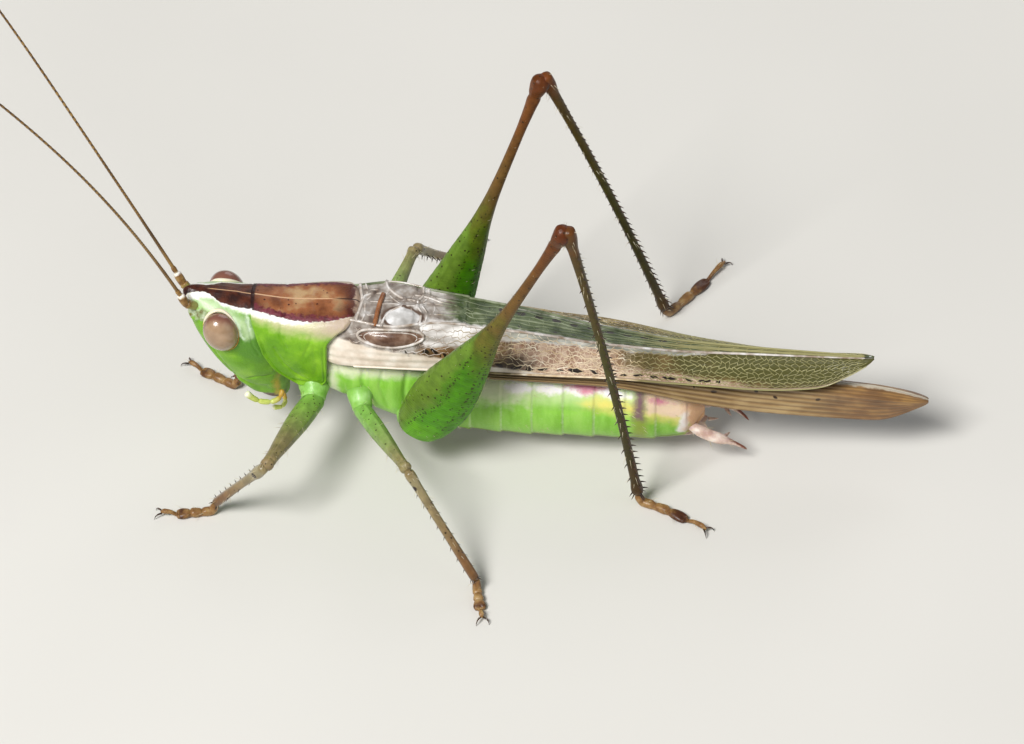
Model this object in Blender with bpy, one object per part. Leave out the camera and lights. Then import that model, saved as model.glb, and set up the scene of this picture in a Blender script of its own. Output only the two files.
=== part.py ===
"""Meadow katydid (a long-horned grasshopper, genus Conocephalus), adult male, life size.

The insect stands still on its six feet. Every shape below is worked out in millimetres in the
insect's own frame: x runs from head to tail with zero at the hind edge of the pronotum, y runs to
the insect's right, z is the height over the floor. The last step moves the whole insect so that
the middle of its footprint is the world's origin, and turns millimetres into metres.
"""
import math

import bmesh
import bpy
import numpy as np

MM = 0.001                    # one millimetre in metres
GAP = 0.05                    # clearance between neighbouring pieces, mm
FEELER = 0.25                 # radius that the thinnest limbs and feelers keep, mm
SOLE_AXIS = 0.20              # height of the foot's middle line over its flat sole, mm
KNEE_STEP = 0.024             # how far the hind shin's root stands off the knee, per mm of shin

# Driving sizes of the body, mm
PRONOTUM_LENGTH = 3.08
PRONOTUM_TOP = 5.1            # height of its saddle over the floor
LOBE_FOOT = 2.75              # height of the lower end of the side lobe
PLATE = 0.45                  # thickness of the pronotum and of the folded wings
HEAD_FRONT = -5.0             # tip of the cone between the feelers
MOUTH = 1.3                   # height of the lowest mouth part
THORAX_REAR = 2.2
ABDOMEN_REAR = 9.75
TEGMEN_TIP = 14.45
HINDWING_TIP = 16.05
ANTENNA_LENGTH = 31.0
HEAD_POWER = 2.3              # squareness of a level slice of the head
FACE_TAPER = 0.30             # share of the width that the upper face loses towards its front
TRUNK_POWER = 2.4             # squareness of the trunk's cross-section
SHOULDER = 3.85               # height at which the pronotum's back turns into its side lobe
FOLD_AT = 1 / 3               # share of a forewing's width that lies flat on the back
EYE_CENTRE = (-3.86, 0.86, 4.48)
EYE_RADII = (0.50, 0.44, 0.62)
EYE_LEAN = math.radians(18)   # the long axis of the eye follows the sloping face

# Joints of the legs, mm: where the thigh starts, the knee, the ankle, then the foot's steps (x, y)
LEGS = {
    "fore_left": ((-1.20, -1.15, 2.35), (-2.31, -4.55, 2.92), (-3.88, -3.62, 0.40),
                  ((-3.95, -3.60), (-4.60, -3.84), (-5.40, -3.82))),
    "fore_right": ((-1.25, 1.15, 2.35), (-2.84, 4.00, 1.35), (-3.74, 1.34, 0.40),
                   ((-3.82, 1.36), (-4.50, 1.72), (-5.22, 2.20))),
    "mid_left": ((0.07, -1.40, 2.30), (1.66, -4.58, 3.13), (3.70, -6.10, 0.40),
                 ((3.72, -6.12), (3.80, -6.60), (3.93, -7.25))),
    "mid_right": ((0.07, 1.40, 2.20), (1.12, 4.95, 2.50), (2.45, 6.70, 0.40),
                  ((2.47, 6.72), (2.60, 7.20), (2.80, 7.85))),
    "hind_left": ((1.62, -1.52, 1.52), (5.92, -3.20, 11.30), (8.00, -2.41, 0.40),
                  ((8.04, -2.38), (8.95, -2.68), (9.98, -3.42))),
    "hind_right": ((1.42, 1.52, 1.40), (4.88, 3.10, 11.05), (8.35, 5.08, 0.40),
                   ((8.40, 5.16), (9.12, 6.02), (9.98, 7.42))),
}

# Half heights of the thigh along its length (0 at the body, 1 at the knee) and its flatness
THIGH = {
    "hind": (((0.00, 0.60), (0.06, 0.84), (0.17, 0.93), (0.36, 0.62), (0.52, 0.31), (0.70, 0.25),
              (0.90, 0.25), (0.97, 0.31), (1.00, 0.28)), 0.50),
    "mid": (((0.00, 0.27), (0.25, 0.30), (0.90, FEELER), (1.00, 0.27)), 0.95),
    "fore": (((0.00, 0.33), (0.25, 0.39), (0.90, 0.26), (1.00, 0.27)), 0.90),
}

# Height of the roof of folded forewings and of their lower edge, as (x, height)
WING_ROOF = ((-0.8, 5.02), (1.5, 5.03), (4.5, 4.72), (7.0, 4.24), (9.5, 3.98), (14.5, 3.90))
TEGMEN_EDGE = ((-0.8, 3.75), (6.0, 3.75), (9.6, 3.34), (12.0, 3.02), (13.0, 3.08),
               (13.8, 3.34), (14.5, 3.62))
HINDWING_EDGE = ((2.0, 3.36), (6.8, 3.28), (9.6, 2.62), (12.7, 1.90), (14.7, 1.76), (16.1, 2.16))


def curve(x, knots):
    """Height of a smooth line through (place, value) knots: cubic pieces that never overshoot."""
    at, value = np.array(knots, float).T
    step = np.diff(at)
    rise = np.diff(value) / step
    slope = np.concatenate([rise[:1], np.zeros(len(at) - 2), rise[-1:]])
    same = rise[:-1] * rise[1:] > 0
    inner = np.zeros(len(at) - 2)
    inner[same] = 2 * rise[:-1][same] * rise[1:][same] / (rise[:-1] + rise[1:])[same]
    slope[1:-1] = inner
    x = np.clip(x, at[0], at[-1])
    i = np.clip(np.searchsorted(at, x, side="right") - 1, 0, len(step) - 1)
    t = (x - at[i]) / step[i]
    start = value[i] + t * t * (3 - 2 * t) * (value[i + 1] - value[i])
    return start + step[i] * t * (1 - t) * ((1 - t) * slope[i] - t * slope[i + 1])


def oval(count, power=2.0):
    """Unit ring of points (across, up): round at power 2, squarer above it."""
    turn = np.arange(count) * math.tau / count + math.pi / count
    across, up = np.sin(turn), np.cos(turn)
    return (np.sign(across) * np.abs(across) ** (2 / power),
            np.sign(up) * np.abs(up) ** (2 / power))


def solid(name, rings, material):
    """One closed body skinned over a row of rings, with a fan of faces closing each end."""
    rings = [np.asarray(ring, float) for ring in rings]
    mesh = bpy.data.meshes.new(name)
    bm = bmesh.new()
    rows = [[bm.verts.new(point * MM) for point in ring] for ring in rings]
    count = len(rows[0])
    for low, high in zip(rows, rows[1:]):
        for i in range(count):
            j = (i + 1) % count
            bm.faces.new((low[i], low[j], high[j], high[i]))
    for row in (rows[0], rows[-1]):
        centre = bm.verts.new(sum((vertex.co for vertex in row), row[0].co * 0) / count)
        for i in range(count):
            bm.faces.new((row[i], row[(i + 1) % count], centre))
    bmesh.ops.recalc_face_normals(bm, faces=bm.faces[:])
    bm.to_mesh(mesh)
    bm.free()
    mesh.shade_smooth()
    mesh.set_sharp_from_angle(angle=math.radians(50))
    mesh.materials.append(material)
    piece = bpy.data.objects.new(name, mesh)
    bpy.context.scene.collection.objects.link(piece)
    return piece


def finish(name, colour, roughness=0.4, metallic=0.0):
    """A plain finish: base colour, roughness and metal."""
    material = bpy.data.materials.new(name)
    material.use_nodes = True
    shader = material.node_tree.nodes["Principled BSDF"]
    shader.inputs["Base Color"].default_value = (*colour, 1)
    shader.inputs["Roughness"].default_value = roughness
    shader.inputs["Metallic"].default_value = metallic
    return material


def body_section(x):
    """Half width, middle height, half height above and below, and squareness of the trunk at x."""
    width = curve(x, ((-2.0, 0.60), (-0.86, 0.64), (-0.80, 1.10), (0.5, 1.20), (2.2, 1.16), (5.0, 1.12),
                      (8.0, 1.05), (9.3, 0.80), (9.75, 0.40)))
    middle = curve(x, ((-2.0, 3.40), (-1.0, 3.10), (0.5, 2.62), (2.2, 2.10), (5.0, 1.94), (8.0, 1.90),
                       (9.3, 1.74), (9.75, 1.80)))
    top = curve(x, ((-2.0, 4.35), (-0.86, 4.35), (-0.80, 3.62), (1.0, 3.62), (2.2, 3.30), (5.0, 3.20),
                    (8.0, 3.06), (9.3, 2.62), (9.75, 2.15)))
    foot = curve(x, ((-2.0, 2.60), (-1.0, 2.25), (0.0, 1.75), (1.1, 1.15), (2.2, 0.84), (5.0, 0.62),
                     (8.0, 0.62), (9.3, 0.80), (9.75, 1.35)))
    return width, middle, top - middle, middle - foot, TRUNK_POWER


def body_ring(x, count):
    """Cross-section of the trunk at x."""
    width, middle, above, below, power = body_section(x)
    across, up = oval(count, power)
    return np.stack([np.full(count, x), across * width, middle + up * np.where(up > 0, above, below)], 1)


def clear_of_trunk(points):
    """Push out to the trunk's surface, plus the gap, whatever points lie inside it."""
    points = np.array(points, float)
    for point in points:
        width, middle, above, below, power = body_section(point[0])
        height = above if point[2] > middle else below
        depth = ((abs(point[1]) / width) ** power + (abs(point[2] - middle) / height) ** power) ** (1 / power)
        wanted = 1 + 2 * GAP / min(width, height)
        if depth < wanted:
            point[1:] = np.array((0, middle)) + (point[1:] - np.array((0, middle))) * wanted / depth
    return points


def trunk_side(x, z):
    """Half width of the trunk at height z of its cross-section at x."""
    width, middle, above, below, power = body_section(x)
    height = above if z > middle else below
    return width * (1 - min(abs(z - middle) / height, 0.98) ** power) ** (1 / power)


def head_section(z):
    """Front, back and half width of the head at height z."""
    front = curve(z, ((MOUTH, -2.62), (2.0, -3.38), (3.0, -4.12), (4.0, -4.62), (4.9, -4.95),
                      (5.2, HEAD_FRONT), (5.36, -4.88)))
    back = curve(z, ((MOUTH, -2.20), (1.6, -2.06), (3.0, -2.08), (3.3, -2.48), (3.95, -2.80), (4.7, -3.00),
                     (5.2, -3.13), (5.36, -3.30)))
    width = curve(z, ((MOUTH, 0.24), (1.9, 0.52), (2.6, 0.78), (3.3, 0.94), (4.0, 0.98), (4.6, 0.88),
                      (5.0, 0.66), (5.22, 0.42), (5.36, 0.14)))
    return front, back, width


def face_taper(along, z):
    """Share of its width that the head keeps at height z, along -1 at the face to 1 at the neck."""
    return 1 - FACE_TAPER * along ** 2 * np.clip((z - 4.2) / 0.8, 0, 1) * (along < 0)


def head_ring(z, count):
    """Level slice of the head at height z, rounder at the face and squarer where the neck joins."""
    front, back, width = head_section(z)
    across, along = oval(count, HEAD_POWER)
    middle, reach = (front + back) / 2, (back - front) / 2
    return np.stack([middle + along * reach, across * width * face_taper(along, z), np.full(count, z)], 1)


def head_side(x, z):
    """Half width of the head at x, along its level slice at height z."""
    front, back, width = head_section(z)
    along = np.clip((2 * x - front - back) / (back - front), -0.999, 0.999)
    return width * face_taper(along, z) * (1 - abs(along) ** HEAD_POWER) ** (1 / HEAD_POWER)


def head(material):
    """Head capsule with the cone of the forehead in front and the mouth parts at its foot."""
    levels = [MOUTH, 1.42, 1.65, 2.0, 2.4, 2.8, 3.2, 3.6, 4.0, 4.4, 4.75, 5.0, 5.15, 5.27, 5.34]
    return solid("head", [head_ring(z, 20) for z in levels], material)


def eye(side, material):
    """Bulging oval eye; its inner face lies on the side of the head."""
    sign = -1 if side == "left" else 1
    rings = []
    for turn in np.radians([8, 30, 52, 74, 96, 118, 140, 162, 174]):
        across, up = oval(14)
        x = across * EYE_RADII[0] * math.sin(turn)
        y = np.full(14, EYE_RADII[1] * math.cos(turn))
        z = up * EYE_RADII[2] * math.sin(turn)
        lean_x = x * math.cos(EYE_LEAN) - z * math.sin(EYE_LEAN)
        lean_z = x * math.sin(EYE_LEAN) + z * math.cos(EYE_LEAN)
        ring = np.stack([EYE_CENTRE[0] + lean_x, EYE_CENTRE[1] + y, EYE_CENTRE[2] + lean_z], 1)
        for point in ring:
            point[1] = max(point[1], head_side(point[0], point[2]) + 1.2 * GAP)
        rings.append(ring * (1, sign, 1))
    return solid("eye_" + side, rings, material)


def tube(name, path, radii, material, flat=1.0, sides=10, power=2.0, upright=(0, 0, 1), clear=False,
         floor=False):
    """A limb: rings square to the path. flat squeezes it sideways to the plane that upright leans
    in, clear keeps it out of the trunk, and floor cuts it off level with the floor."""
    path = np.asarray(path, float)
    ahead = np.gradient(path, axis=0)
    across, up = oval(sides, power)
    rings = []
    for point, way, radius in zip(path, ahead, radii):
        way = way / np.linalg.norm(way)
        side = np.cross(way, upright)
        side /= np.linalg.norm(side)
        lift = np.cross(side, way)
        ring = point + radius * (np.outer(across, side) * flat + np.outer(up, lift))
        if clear:
            ring = clear_of_trunk(ring)
        if floor:
            ring[:, 2] = np.maximum(ring[:, 2], 0)
        rings.append(ring)
    return solid(name, rings, material)


def rounded(count, ends=0.25):
    """Places from 0 to 1 along a limb, packed towards both ends."""
    t = np.linspace(0, 1, count)
    return t - ends * np.sin(math.tau * t) / math.tau


def limb(name, start, end, radii, material, steps, inset=(0.0, 0.0), **shape):
    """A straight limb from start to end with rounded ends. radii is a curve of half heights."""
    start, end = np.array(start, float), np.array(end, float)
    length = np.linalg.norm(end - start)
    way = (end - start) / length
    start, end = start + way * inset[0], end - way * inset[1]
    length = np.linalg.norm(end - start)
    t = rounded(steps)
    size = curve(t, radii)
    cap = np.minimum(t, 1 - t) * length / size
    size = size * np.sqrt(1 - np.clip(1 - cap - 0.18, 0, 1) ** 2)
    return tube(name, start + np.outer(t, end - start), size, material, **shape)


def leg(name, finishes):
    """Hip, thigh, shin and foot of one leg, each its own piece."""
    base, knee, ankle, steps = (np.array(part, float) for part in LEGS[name])
    kind = name.split("_")[0]
    side = np.sign(base[1])
    thigh_curve, flat = THIGH[kind]
    plane = np.cross(knee - base, ankle - knee)
    upright = np.cross(plane, knee - base)
    root_x, root_z = base[0] - 0.10, base[2] + 0.12
    root = np.array((root_x, side * (trunk_side(root_x, root_z) + 2.5 * GAP), root_z))
    short = 0.42 if kind == "hind" else 0.10
    hip_path = np.linspace(root, base - (0, side * short, 0), 5)
    hip_sizes = np.array([0.9, 1.1, 1.0, 0.85, 0.5]) * min(thigh_curve[0][1], 0.40)
    tube("coxa_" + name, hip_path, hip_sizes, finishes["coxa"], sides=8, clear=True, upright=(1, 0, 0.2))
    limb("femur_" + name, base, knee, thigh_curve, finishes["femur"], 17 if kind == "hind" else 9,
         inset=(0.12, 0.02), flat=flat, upright=upright, sides=12 if kind == "hind" else 10)
    shin = ((0.0, 0.27), (0.1, FEELER), (0.9, FEELER), (1.0, 0.25))
    shin_start = knee + (ankle - knee) / np.linalg.norm(ankle - knee) * 0.36
    if kind == "hind":
        shin_start = shin_start + np.cross(plane, knee - ankle) / np.linalg.norm(plane) * KNEE_STEP
    limb("tibia_" + name, shin_start, ankle, shin, finishes["tibia"], 8, inset=(0.0, 0.03), upright=upright,
         sides=8)
    foot(name, steps, ankle, finishes["tarsus"])


def foot(name, steps, ankle, material):
    """Foot of four joints: two short ones, a broad two-lobed one and the claw joint, on flat soles."""
    heel, bend, toe = (np.array((x, y, SOLE_AXIS)) for x, y in steps)
    forward = (bend - heel) / np.linalg.norm(bend - heel)
    start = np.array((ankle[0], ankle[1], SOLE_AXIS)) + forward * 0.32
    t = np.array([0.0, 0.10, 0.34, 0.42, 0.50, 0.60, 0.68, 0.76, 0.94, 1.0])[:, None]
    widths = (0.16, 0.27, FEELER, 0.29, 0.27, 0.36, 0.36, FEELER, FEELER, 0.14)
    path = (1 - t) ** 2 * start + 2 * t * (1 - t) * bend + t ** 2 * toe
    tube("tarsus_" + name, path, widths, material, power=2.6, floor=True)


def shell(name, outer, inner, material):
    """A plate between two grids of points of the same size, closed along its four edges."""
    rows, columns = outer.shape[:2]
    mesh = bpy.data.meshes.new(name)
    bm = bmesh.new()
    faces = [[[bm.verts.new(point * MM) for point in row] for row in grid] for grid in (outer, inner)]
    for grid in faces:
        for i in range(rows - 1):
            for j in range(columns - 1):
                bm.faces.new((grid[i][j], grid[i][j + 1], grid[i + 1][j + 1], grid[i + 1][j]))
    rim = [(i, 0) for i in range(rows)] + [(rows - 1, j) for j in range(1, columns)]
    rim += [(i, columns - 1) for i in range(rows - 2, -1, -1)] + [(0, j) for j in range(columns - 2, 0, -1)]
    for (i, j), (k, m) in zip(rim, rim[1:] + rim[:1]):
        bm.faces.new((faces[0][i][j], faces[0][k][m], faces[1][k][m], faces[1][i][j]))
    bmesh.ops.recalc_face_normals(bm, faces=bm.faces[:])
    bm.to_mesh(mesh)
    bm.free()
    mesh.shade_smooth()
    mesh.set_sharp_from_angle(angle=math.radians(50))
    mesh.materials.append(material)
    piece = bpy.data.objects.new(name, mesh)
    bpy.context.scene.collection.objects.link(piece)


def pronotum_point(along, around, depth):
    """Point of the saddle plate: along 0 to 1 from its front to its hind edge, around from -1 at
    the left margin over 0 on top to 1 at the right margin, depth under its outer face."""
    t = abs(around)
    level = curve(t, ((0.0, 5.15), (0.3, 4.98), (0.5, 4.45), (0.6, 3.95), (1.0, LOBE_FOOT)))
    front = curve(level, ((2.75, -1.62), (2.99, -1.96), (3.31, -2.38), (3.94, -2.71), (4.71, -2.93),
                          (5.15, -PRONOTUM_LENGTH)))
    rear = curve(level, ((2.75, -1.10), (3.10, -0.88), (4.40, -0.86), (4.80, -0.62), (5.15, 0.0)))
    x = front + (rear - front) * along
    width = curve(x, ((-3.1, 0.92), (-2.0, 1.12), (-1.0, 1.22), (0.0, 1.16))) - depth
    top = curve(x, ((-3.1, PRONOTUM_TOP + 0.12), (-1.9, PRONOTUM_TOP), (-0.3, PRONOTUM_TOP + 0.08),
                    (0.0, PRONOTUM_TOP + 0.04))) - depth
    power = curve(x, ((-3.1, 2.0), (-1.9, 2.7), (0.0, 3.2)))
    side = 0.6                # the share of the way round at which the lobe begins
    if t < side:
        turn = math.radians(90) * t / side
        y = width * math.sin(turn) ** (2 / power)
        z = SHOULDER + (top - SHOULDER) * math.cos(turn) ** (2 / power)
    else:
        down = (t - side) / (1 - side)
        y = width - 0.08 * down ** 2
        z = SHOULDER + (LOBE_FOOT - SHOULDER) * down
    return x, math.copysign(y, around), z


def pronotum(material):
    """Saddle-shaped plate over the front of the trunk, with a deep lobe on each side."""
    along, around = np.linspace(0, 1, 10), np.linspace(-1, 1, 23)
    grids = [np.array([[pronotum_point(a, b, depth) for b in around] for a in along])
             for depth in (0, PLATE)]
    shell("pronotum", grids[0], grids[1], material)


def wing_ridge(x):
    """Distance of the fold between the flat back and the side of a forewing from the middle line:
    it narrows to the tip, and is widest over the sound-making field at the base."""
    return 0.04 + 0.60 * math.exp(-(x / 8.2) ** 2) + 0.24 * math.exp(-((x - 0.9) / 0.9) ** 2)


def tegmen(side, material):
    """Leathery forewing: a narrow flat back, a fold, and a sloping side, drawn out to the tip."""
    sign = -1 if side == "left" else 1
    outer, inner = [], []
    for u in rounded(21, 0.2):
        far, near = [], []
        for v in np.linspace(0, 1, 7):
            level = curve(v, ((0.0, 5.1), (0.33, 5.0), (1.0, 3.75)))
            start = curve(level, ((3.75, -0.78), (3.95, -0.76), (4.4, -0.30), (4.8, 0.04), (5.1, 0.06)))
            x = start + (TEGMEN_TIP - start) * u
            roof = curve(x, WING_ROOF)
            ridge = max(wing_ridge(x), 0.33)
            low_y = max(curve(x, ((0.0, 1.25), (5.5, 1.24), (9.6, 0.92), (12.0, 0.62), (14.5, 0.40))), 0.53)
            round_tip = math.sqrt(max(1 - max((x - 12.8) / 1.72, 0) ** 2, 0))
            low_z = roof - (roof - curve(x, TEGMEN_EDGE)) * (0.25 + 0.75 * round_tip)
            fold = max(v - FOLD_AT, 0) / (1 - FOLD_AT)
            y = GAP / 2 + (ridge - GAP / 2) * min(v / FOLD_AT, 1) + (low_y - ridge) * fold
            z = roof + (low_z - roof) * fold
            far.append((x, sign * (y + 0.10 * math.sin(math.pi * fold)), z))
            under_y = max(low_y - PLATE * 0.95, GAP / 2)
            under_z = low_z - 0.12 * (low_y > 0.6)
            roof_z = max(roof - PLATE, low_z + 0.12)
            near.append((x, sign * (GAP / 2 + (under_y - GAP / 2) * v), roof_z + (under_z - roof_z) * v))
        outer.append(far)
        inner.append(near)
    shell("tegmen_" + side, np.array(outer), np.array(inner), material)


def hindwing(side, material):
    """Folded hind wing: it lies under the forewing, shows below its edge and runs on past its tip."""
    sign = -1 if side == "left" else 1
    outer, inner = [], []
    for x in 2.35 + (HINDWING_TIP - 2.35) * rounded(18, 0.2):
        roof = min(curve(x, WING_ROOF) - PLATE - 1.6 * GAP,
                   curve(x, ((2.0, 4.5), (9.0, 3.40), (11.5, 2.92), (12.7, 2.84), (14.5, 2.70), (15.6, 2.54),
                             (16.1, 2.42))))
        low_y = max(curve(x, ((2.0, 1.02), (6.8, 1.02), (9.6, 0.92), (12.7, 0.50), (16.1, 0.30))), 0.50)
        low_z = curve(x, HINDWING_EDGE)
        slope_y = curve(x, ((2.0, 0.72), (6.8, 0.70), (9.6, 0.44), (11.0, 0.36), (16.1, 0.36)))
        slope_z = min(roof - 0.02, curve(x, ((2.0, 3.50), (6.8, 3.44), (9.6, 3.12), (11.0, 2.84),
                                             (16.1, 2.36))))
        belly = curve(x, ((2.0, 3.40), (5.0, 3.34), (8.0, 3.16), (9.8, 2.82), (11.0, 2.50), (16.1, 2.30)))
        outer.append([(x, sign * y, z) for y, z in ((GAP / 2, roof), (slope_y / 2, (roof + slope_z) / 2 + 0.03),
                                                    (slope_y, slope_z), (low_y, low_z))])
        edge_y = max(low_y - 0.36, GAP / 2)
        edge_z = low_z - 0.03
        inner.append([(x, sign * y, z) for y, z in ((GAP / 2, belly),
                                                    (edge_y * 0.4, belly * 0.7 + edge_z * 0.3),
                                                    (edge_y * 0.75, belly * 0.35 + edge_z * 0.65),
                                                    (edge_y, edge_z))])
    shell("hindwing_" + side, np.array(outer), np.array(inner), material)


def feeler_path(side, reach):
    """Points along a feeler: it leaves the head steeply and arches forwards, spreading outwards."""
    sign = -1 if side == "left" else 1
    s = np.linspace(0, ANTENNA_LENGTH, 200)
    rise = np.radians(65 - 42 * (s / ANTENNA_LENGTH) ** 1.1)
    spread = math.radians(5 if side == "left" else 10)
    way = np.stack([-np.cos(rise) * math.cos(spread), sign * math.sin(spread) * np.ones_like(s),
                    np.sin(rise)], 1)
    points = np.array((-4.90, sign * 0.51, 5.02)) + np.cumsum(way, 0) * (s[1] - s[0])
    return np.stack([np.interp(reach, s, points[:, k]) for k in range(3)], 1)


def antenna(side, material):
    """Feeler in three lengths: the stout root joint and two runs of the whip."""
    for name, start, end, steps in (("scape_", 0.0, 0.55, 5), ("antenna_base_", 0.60, 15.5, 14),
                                    ("antenna_tip_", 15.55, ANTENNA_LENGTH, 14)):
        t = rounded(steps, 0.3)
        radii = np.full(steps, FEELER)
        radii[[0, -1]] = 0.15
        tube(name + side, feeler_path(side, start + (end - start) * t), radii, material, sides=6,
             upright=(0, 1, 0.1))


def palp(side, material):
    """Jointed mouth feeler that curls forwards beside the jaws."""
    sign = -1 if side == "left" else 1
    path = np.array([(-2.24, 0.74, 1.72), (-2.48, 0.84, 1.68), (-2.74, 0.90, 1.70), (-3.00, 0.92, 1.84),
                     (-3.20, 0.92, 2.04), (-3.28, 0.92, 2.14)])
    radii = (0.15, FEELER, FEELER, FEELER, 0.24, 0.14)
    tube("palp_" + side, path * (1, sign, 1), radii, material, sides=8, upright=(0, 1, 0.1))


def cercus(side, material):
    """Stout tail clasper that narrows to a point."""
    sign = -1 if side == "left" else 1
    path = np.array([(9.56, 0.66, 1.30), (9.72, 0.70, 1.24), (10.05, 0.72, 1.12), (10.40, 0.70, 0.98),
                     (10.68, 0.64, 0.84), (10.90, 0.56, 0.70), (10.97, 0.53, 0.66)])
    radii = (0.16, 0.27, 0.29, 0.28, FEELER, 0.20, 0.10)
    tube("cercus_" + side, path * (1, sign, 1), radii, material, sides=8, upright=(0, 1, 0.1), clear=True)


def stand_at_origin():
    """Move every piece so that the middle of the insect's footprint is the world's origin."""
    pieces = [piece for piece in bpy.context.scene.objects if piece.type == "MESH"]
    points = np.array([vertex.co for piece in pieces for vertex in piece.data.vertices])
    low, high = points.min(0), points.max(0)
    for piece in pieces:
        piece.location = (-(low[0] + high[0]) / 2, -(low[1] + high[1]) / 2, 0)


def main():
    """Build the whole insect."""
    for old in list(bpy.data.objects):
        bpy.data.objects.remove(old, do_unlink=True)
    green = finish("leaf green shell", (0.13, 0.40, 0.04))
    brown = finish("brown back", (0.20, 0.07, 0.025))
    wing = finish("smoky wing", (0.22, 0.15, 0.08), 0.3)
    pale_wing = finish("brown folded wing", (0.25, 0.12, 0.05), 0.3)
    eye_shell = finish("tan eye", (0.35, 0.22, 0.14), 0.15)
    tan = finish("tan limb", (0.22, 0.13, 0.05))
    pale = finish("pale flesh", (0.55, 0.40, 0.28))
    head(green)
    pronotum(brown)
    rings = (-1.98, -1.4, -0.86, -0.80, -0.4, 0.1, 0.6, 1.1, 1.6, THORAX_REAR)
    solid("thorax", [body_ring(x, 18) for x in rings], green)
    segments = np.linspace(THORAX_REAR + GAP, 9.3, 12).tolist() + [9.5, 9.66, ABDOMEN_REAR]
    solid("abdomen", [body_ring(x, 20) for x in segments], green)
    for side in ("left", "right"):
        eye(side, eye_shell)
        antenna(side, tan)
        palp(side, pale)
        tegmen(side, wing)
        hindwing(side, pale_wing)
        cercus(side, pale)
    for name in LEGS:
        leg(name, {"coxa": green, "femur": green, "tibia": tan, "tarsus": tan})
    stand_at_origin()


main()
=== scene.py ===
import math

import bpy
import numpy as np
from mathutils import Matrix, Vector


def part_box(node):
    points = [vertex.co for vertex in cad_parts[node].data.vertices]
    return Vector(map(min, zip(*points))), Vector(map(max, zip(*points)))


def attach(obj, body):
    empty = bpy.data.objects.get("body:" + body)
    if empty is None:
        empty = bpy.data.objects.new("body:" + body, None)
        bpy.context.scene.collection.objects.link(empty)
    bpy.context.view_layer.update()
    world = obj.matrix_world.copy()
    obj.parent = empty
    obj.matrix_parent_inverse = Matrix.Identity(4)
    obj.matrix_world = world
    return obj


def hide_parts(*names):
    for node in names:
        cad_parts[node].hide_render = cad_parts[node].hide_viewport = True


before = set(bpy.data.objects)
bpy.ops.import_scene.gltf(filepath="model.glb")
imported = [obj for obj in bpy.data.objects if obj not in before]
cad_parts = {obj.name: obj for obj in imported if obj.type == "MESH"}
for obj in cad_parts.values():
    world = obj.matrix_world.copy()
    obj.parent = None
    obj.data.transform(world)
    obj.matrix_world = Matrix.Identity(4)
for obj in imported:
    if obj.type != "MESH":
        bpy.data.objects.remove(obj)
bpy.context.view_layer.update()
MM = 0.001                                   # one millimetre in metres
saddle_low, saddle_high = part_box("pronotum")
# The insect's own zero is on the floor, on its middle line, under the hind edge of the saddle
ZERO = np.array((saddle_high.x, (saddle_low.y + saddle_high.y) / 2, 0)) / MM
TAU = math.tau
SIDES = (("left", -1), ("right", 1))         # the two sides, and which way their y runs
print("frame of", len(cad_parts), "nodes, zero at", ZERO.round(3), "mm")

# %% [markdown]
# ## Curves, ovals and dents
# Nothing on an insect is quite straight, and yet few numbers are needed for it. Most sizes below
# are a smooth curve through a handful of knots. Grooves and seams are dents: the surface sinks
# where it is close to a line.
# %% Curves, ovals and dents
def curve(x, knots):
    """Height of a smooth line through (place, value) knots: cubic pieces that never overshoot.
    The slope at a knot is the harmonic mean of the slopes on its two sides."""
    at, value = np.array(knots, float).T
    step = np.diff(at)
    rise = np.diff(value) / step
    slope = np.concatenate([rise[:1], np.zeros(len(at) - 2), rise[-1:]])
    same = rise[:-1] * rise[1:] > 0
    slope[1:-1][same] = 2 * (rise[:-1] * rise[1:])[same] / (rise[:-1] + rise[1:])[same]
    x = np.clip(x, at[0], at[-1])
    i = np.clip(np.searchsorted(at, x, side="right") - 1, 0, len(step) - 1)
    t = (x - at[i]) / step[i]
    start = value[i] + t * t * (3 - 2 * t) * (value[i + 1] - value[i])
    return start + step[i] * t * (1 - t) * ((1 - t) * slope[i] - t * slope[i + 1])


def full_turn(count):
    """Angles of count points, evenly round a circle."""
    return np.arange(count) * TAU / count


def oval(turn, power=2.0):
    """Sine and cosine of turn, each raised to 2 / power with its sign kept: a circle at power 2,
    a rounded square above it."""
    return tuple(np.sign(part) * np.abs(part) ** (2 / power) for part in (np.sin(turn), np.cos(turn)))


def distances(points):
    """How far along a line of straight pieces each of its points lies."""
    return np.append(0, np.cumsum(np.linalg.norm(np.diff(points, axis=0), axis=1)))


def through(at, places, knots):
    """Points of a smooth line through knots, which lie at their own places along it."""
    return np.stack([curve(at, np.stack([places, part], 1)) for part in np.transpose(knots)], 1)


def near(points, line):
    """Distance from each point to a line of straight pieces: the least over its pieces of the
    distance to the closest point of that piece."""
    line = np.asarray(line, float)
    start, run = line[:-1], np.diff(line, axis=0)
    away = points[..., None, :] - start
    part = np.clip((away * run).sum(-1) / (run ** 2).sum(-1), 0, 1)
    return np.linalg.norm(away - part[..., None] * run, axis=-1).min(-1)


def bump(distance, width):
    """Bell curve: one at no distance, and nearly nothing at twice the width."""
    return np.exp(-(distance / width) ** 2)


def folded(rows, height=0.0):
    """Height with folds added. A row is the points seen from some side, a line in that view, the
    fold's height, which is negative for a groove, its width, and the share of it that counts."""
    for seen, line, tall, wide, *share in rows:
        height = height + tall * bump(near(seen, line), wide) * (share[0] if share else 1)
    return height


def ease(x, start, end):
    """Zero before start and one after end, with a smooth rise between."""
    t = np.clip((x - start) / (end - start), 0, 1)
    return t * t * (3 - 2 * t)


def unit(ways):
    """The same directions, each one long."""
    return ways / np.linalg.norm(ways, axis=-1, keepdims=True)


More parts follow.
